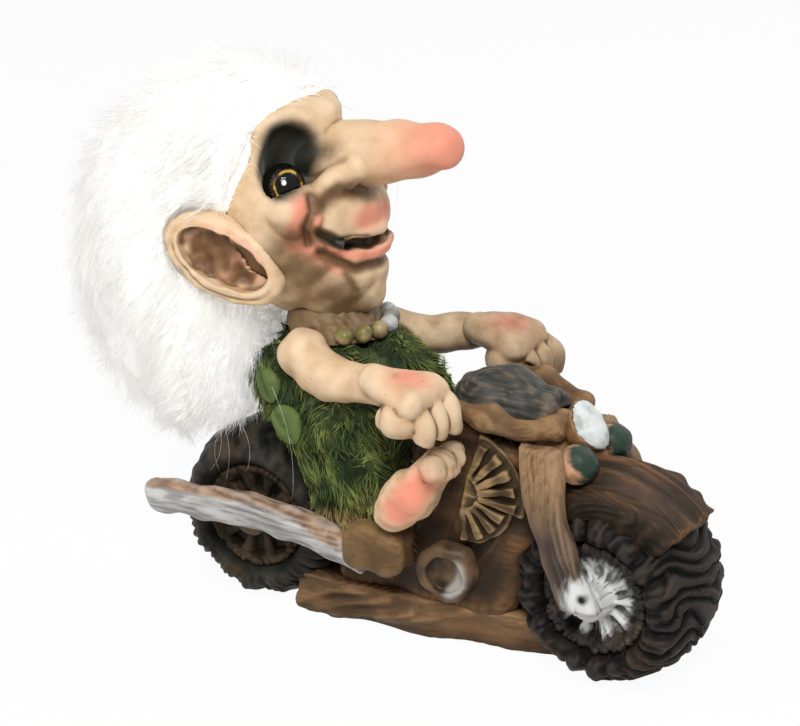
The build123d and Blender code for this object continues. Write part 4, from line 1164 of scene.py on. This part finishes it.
for side, sign in SIDES.items():
    outward = HEAD_ASIDE * sign * math.cos(EAR_YAW) + HEAD_AHEAD * math.sin(EAR_YAW)
    ear = clay_copy(f"ear_{side}", f"carved_ear_{side}", 0.4, 9)
    spots = points_of(ear)
    offset = spots - head_place(EAR_PLACE, sign)
    long, wide = ear_frame(half_face(spots))
    ring = np.hypot(long, wide)
    facing = held(2 * (normals_of(ear) @ outward))
    bowl = facing * held((0.70 - ring) / 0.18)
    fold = facing * peak(ring, 0.86, 0.05) * held(0.4 - 1.5 * wide)
    lumps = ripple(offset, 8, 181, 2)
    press(ear, 0.8 * bowl * lumps - 0.9 * fold + 0.3 * ripple(offset, 9, 182))
    skin_masks(
        ear,
        pink=0.4 * peak(ring, 0.72, 0.1) * held(0.5 + wide) + 0.55 * bowl,
        olive=bowl * np.clip(0.95 - 0.3 * lumps - 0.4 * long, 0.3, 1.1),
    )
    settle(ear, skin_paint, "troll_skin", f"ear_{side}")

# A string of round clay beads lies half sunk in the collar of the bust, daubed tan and olive on the
# near side and silver beyond.
beads = cast("necklace_beads", "daubed_beads", 0.3, 2, lambda spots: (
    0.12 * ripple(spots, 6, 191, 2)), depth=0.25)
keep(beads, "silver", held((points_of(beads)[:, 1] + 2) / 4))
bead_paint, ink = new_paint("daubed_bead_paint")
daubed = two_tone(ink, 5, (0.17, 0.15, 0.05), (0.34, 0.26, 0.13), 0.42, 0.58, detail=2)
silvered = two_tone(ink, 3.5, (0.20, 0.19, 0.16), (0.46, 0.47, 0.46), 0.35, 0.6)
coat = mixed(faded(mark(ink, "silver"), 0.2, 0.8), daubed, silvered)
finish_paint(ink, washed(ink, coat, 0.8, (0.06, 0.05, 0.02)), 0.35, coat=0.2)
settle(beads, bead_paint, "bead_paint", "necklace_beads")

# Glass eyes are set in the sockets: a ball with a black pupil and a thin gold ring painted on its
# back, under a clear domed front. A white dot on the pupil is a painted highlight, for the reflection
# of the lamps in the glass.
EYE_PLACE = (8.0, 17.5, 9.8)
EYE_GAZE = math.radians(34)
PUPIL_RADIUS = 3.6
GOLD_RADIUS = 4.3
GOLD_BLUR = 0.2
PAINTED_HIGHLIGHT_PLACE = (-0.9, 0.6, 0.8)
PAINTED_HIGHLIGHT_RADIUS = 0.9
EYE_BLACK = (0.002, 0.002, 0.002)
EYE_BROWN = (0.006, 0.005, 0.003)
eye_paint, ink = new_paint("eye_paint")
reach = mark(ink, "from_pupil")
gold = two_tone(ink, 2.2, (0.05, 0.025, 0.003), (0.50, 0.31, 0.035), 0.42, 0.58)
ringed = mixed(faded(reach, PUPIL_RADIUS - GOLD_BLUR, PUPIL_RADIUS + GOLD_BLUR), EYE_BLACK, gold)
ringed = mixed(faded(reach, GOLD_RADIUS - GOLD_BLUR, GOLD_RADIUS + GOLD_BLUR), ringed, EYE_BROWN)
# The white dot is a painted highlight in place of the lamps' reflection in the glass.
finish_paint(ink, mixed(faded(mark(ink, "painted_highlight"), 0.4, 0.7), ringed, (0.9, 0.9, 0.9)), 0.4, gloss=0.0)

clear_glass, ink = new_paint("clear_eye")
shader = ink.node("BsdfPrincipled", {
    "Base Color": WHITE, "Roughness": 0.02, "IOR": 1.12, "Transmission Weight": 1.0,
    "Coat Weight": 0.3, "Coat Roughness": 0.03})
ink.node("OutputMaterial", {"Surface": shader})

for side, sign in SIDES.items():
    gaze = HEAD_AHEAD * math.cos(EYE_GAZE) + HEAD_ASIDE * sign * math.sin(EYE_GAZE)
    back = clay_copy(f"eye_iris_{side}", f"painted_eye_{side}", 0.25, 1)
    offset = points_of(back) - head_place(EYE_PLACE, sign)
    aside = offset - np.outer(offset @ gaze, gaze)
    painted_highlight = np.array(PAINTED_HIGHLIGHT_PLACE) * (1, sign, 1)
    keep(back, "from_pupil", np.linalg.norm(aside, axis=1))
    keep(back, "painted_highlight", dab(aside, painted_highlight - (painted_highlight @ gaze) * gaze, PAINTED_HIGHLIGHT_RADIUS))
    settle(back, eye_paint, "eye_paint", f"eye_iris_{side}")
    dome = clay_copy(f"eye_glass_{side}", f"glass_eye_front_{side}", 0.25, 2)
    settle(dome, clear_glass, "eye_clear", f"eye_glass_{side}")

# The wig is a cap of suede with long white fur on it, glued round the crown. The fur is combed back
# and down from the hairline in a soft cloud. Fur and cap have a little painted glow that stands in for
# light passing from hair to hair.
CAP_PAINTED_GLOW = 0.35
FUR_PAINTED_GLOW = 0.16
RIM_PAINTED_GLOW = 0.5
FUR_SUNK = 1.8
FUR_PIECES = 5
FUR_STRANDS = 4500
HAIRLINE_STRANDS = 4000
HAIRLINE_PLACE = (7.5, 0, 31)
HAIRLINE_FACING = (0.866, 0, -0.5)
cap = cast("wig_skin", "suede_wig_cap", 0.8, 2, lambda spots: 0.1 * ripple(spots, 5, 201))
cap_paint, ink = new_paint("suede_cap_paint")
coat = mixed(mottle(ink, 2), (0.80, 0.78, 0.73), (0.88, 0.87, 0.84))
# The cap has a painted glow too, so that its shaded edge shows as white as the fur.
finish_paint(ink, coat, 0.9, grit=0.1, painted_glow=CAP_PAINTED_GLOW)
settle(cap, cap_paint, "wig_leather", "wig_skin")


def white_hair(name, painted_glow):
    """White fur, a little warmer in broad patches, with a painted glow in place of light between the
    hairs.
    """
    material, ink = new_paint(name)
    coat = two_tone(ink, 30, (0.86, 0.85, 0.825), (0.90, 0.895, 0.88), 0.3, 0.7, detail=2)
    finish_paint(ink, coat, 0.75, painted_glow=painted_glow)
    return material


fur_paint = white_hair("white_fur", FUR_PAINTED_GLOW)
# The hairline fur has a stronger painted glow, which brightens the shade along the front of the cap.
rim_glow_paint = white_hair("white_rim_fur_painted_glow", RIM_PAINTED_GLOW)
under_fur = clay_copy("wig_fur", "under_fur", 1.5, 8)
press(under_fur, 0.6 * ripple(points_of(under_fur) * (1, 1, 0.5), 12, 211) - FUR_SUNK)
settle(under_fur, fur_paint, "white_fur", "wig_fur")

strand = template_of(3, 1, 0.2)
luck = np.random.default_rng(212)


def grow(name, paint, roots, normals, flow, length, lift, curl):
    """Fur on roots: strands along a flow, lifted off the surface, with tips curled by chance."""
    length = luck.uniform(0.6 * length, length, len(roots))[:, None]
    rise = luck.uniform(0.4 * lift, lift, len(roots))[:, None]
    bends = roots + 0.5 * length * (flow + 1.2 * rise * normals)
    tips = roots + length * (flow + rise * normals) + curl * luck.normal(size=roots.shape)
    widths = luck.uniform(0.06, 0.12, len(roots))
    fur = sow(name, strand, roots - 0.5 * normals, bends, tips, normals, widths)
    settle(fur, paint, "white_fur")


for number in range(FUR_PIECES):
    roots, normals = scattered(under_fur, FUR_STRANDS, luck)
    backward = -0.5 - 0.3 * luck.random(len(roots))
    back_down = np.stack([
        backward, 0.8 * np.sin(roots[:, 1] / 24), -0.9 + (roots[:, 2] - 100) / 70], axis=1)
    swirl = np.stack([ripple(roots, 40, seed, 1) for seed in (213, 214, 215)], axis=1)
    flow = laid_flat(normals, back_down + 0.35 * swirl + 0.15 * luck.normal(size=roots.shape))
    grow(f"white_fur_{number + 1}", fur_paint, roots, normals, flow,
         length=14.0, lift=0.26, curl=0.5)

HAIRLINE_BANDS = ((cap, 8.0), (under_fur, 4.0))
for number, (piece, reach) in enumerate(HAIRLINE_BANDS):
    roots, normals = scattered(piece, HAIRLINE_STRANDS, luck, lambda spots, normals: (
        (half_face(spots) - HAIRLINE_PLACE) @ HAIRLINE_FACING > -reach))
    flow = (-0.45, 0, 0.05) + 0.4 * normals + 0.4 * luck.normal(size=roots.shape)
    grow(f"white_fur_hairline_{number + 1}", rim_glow_paint, roots, normals, flow,
         length=6.5, lift=0.25, curl=0.8)

# A few long hairs of the wig have worked loose: over the dress and the rear wheel, and one across the
# far cheek. Each is a single fine strand.
STRAY_PLACES = (
    ((-66, -17, 60), (-60, -19, 51), (-65, -17, 39)),
    ((-63, -18, 60), (-70, -19, 51), (-67, -17, 42)),
    ((-60, -19, 62), (-51, -21, 56), (-56, -19, 45)),
    ((-68, -16, 59), (-63, -18, 50), (-71, -16, 41)),
    ((-43, -25, 76), (-33, -28, 62), (-36, -26, 43)),
    ((-22, 13, 136), (-21, 14, 122), (-26, 12, 112)),
)
STRAY_FACING = (0.3, -1.0, 0.2)
STRAY_WIDTH = 0.03
roots, bends, tips = np.array(STRAY_PLACES, dtype=float).transpose(1, 0, 2)
count = len(STRAY_PLACES)
strays = sow("stray_hairs", template_of(4, 11, 0.6), roots, bends, tips,
             np.tile(STRAY_FACING, (count, 1)), np.full(count, STRAY_WIDTH))
settle(strays, fur_paint, "white_fur")
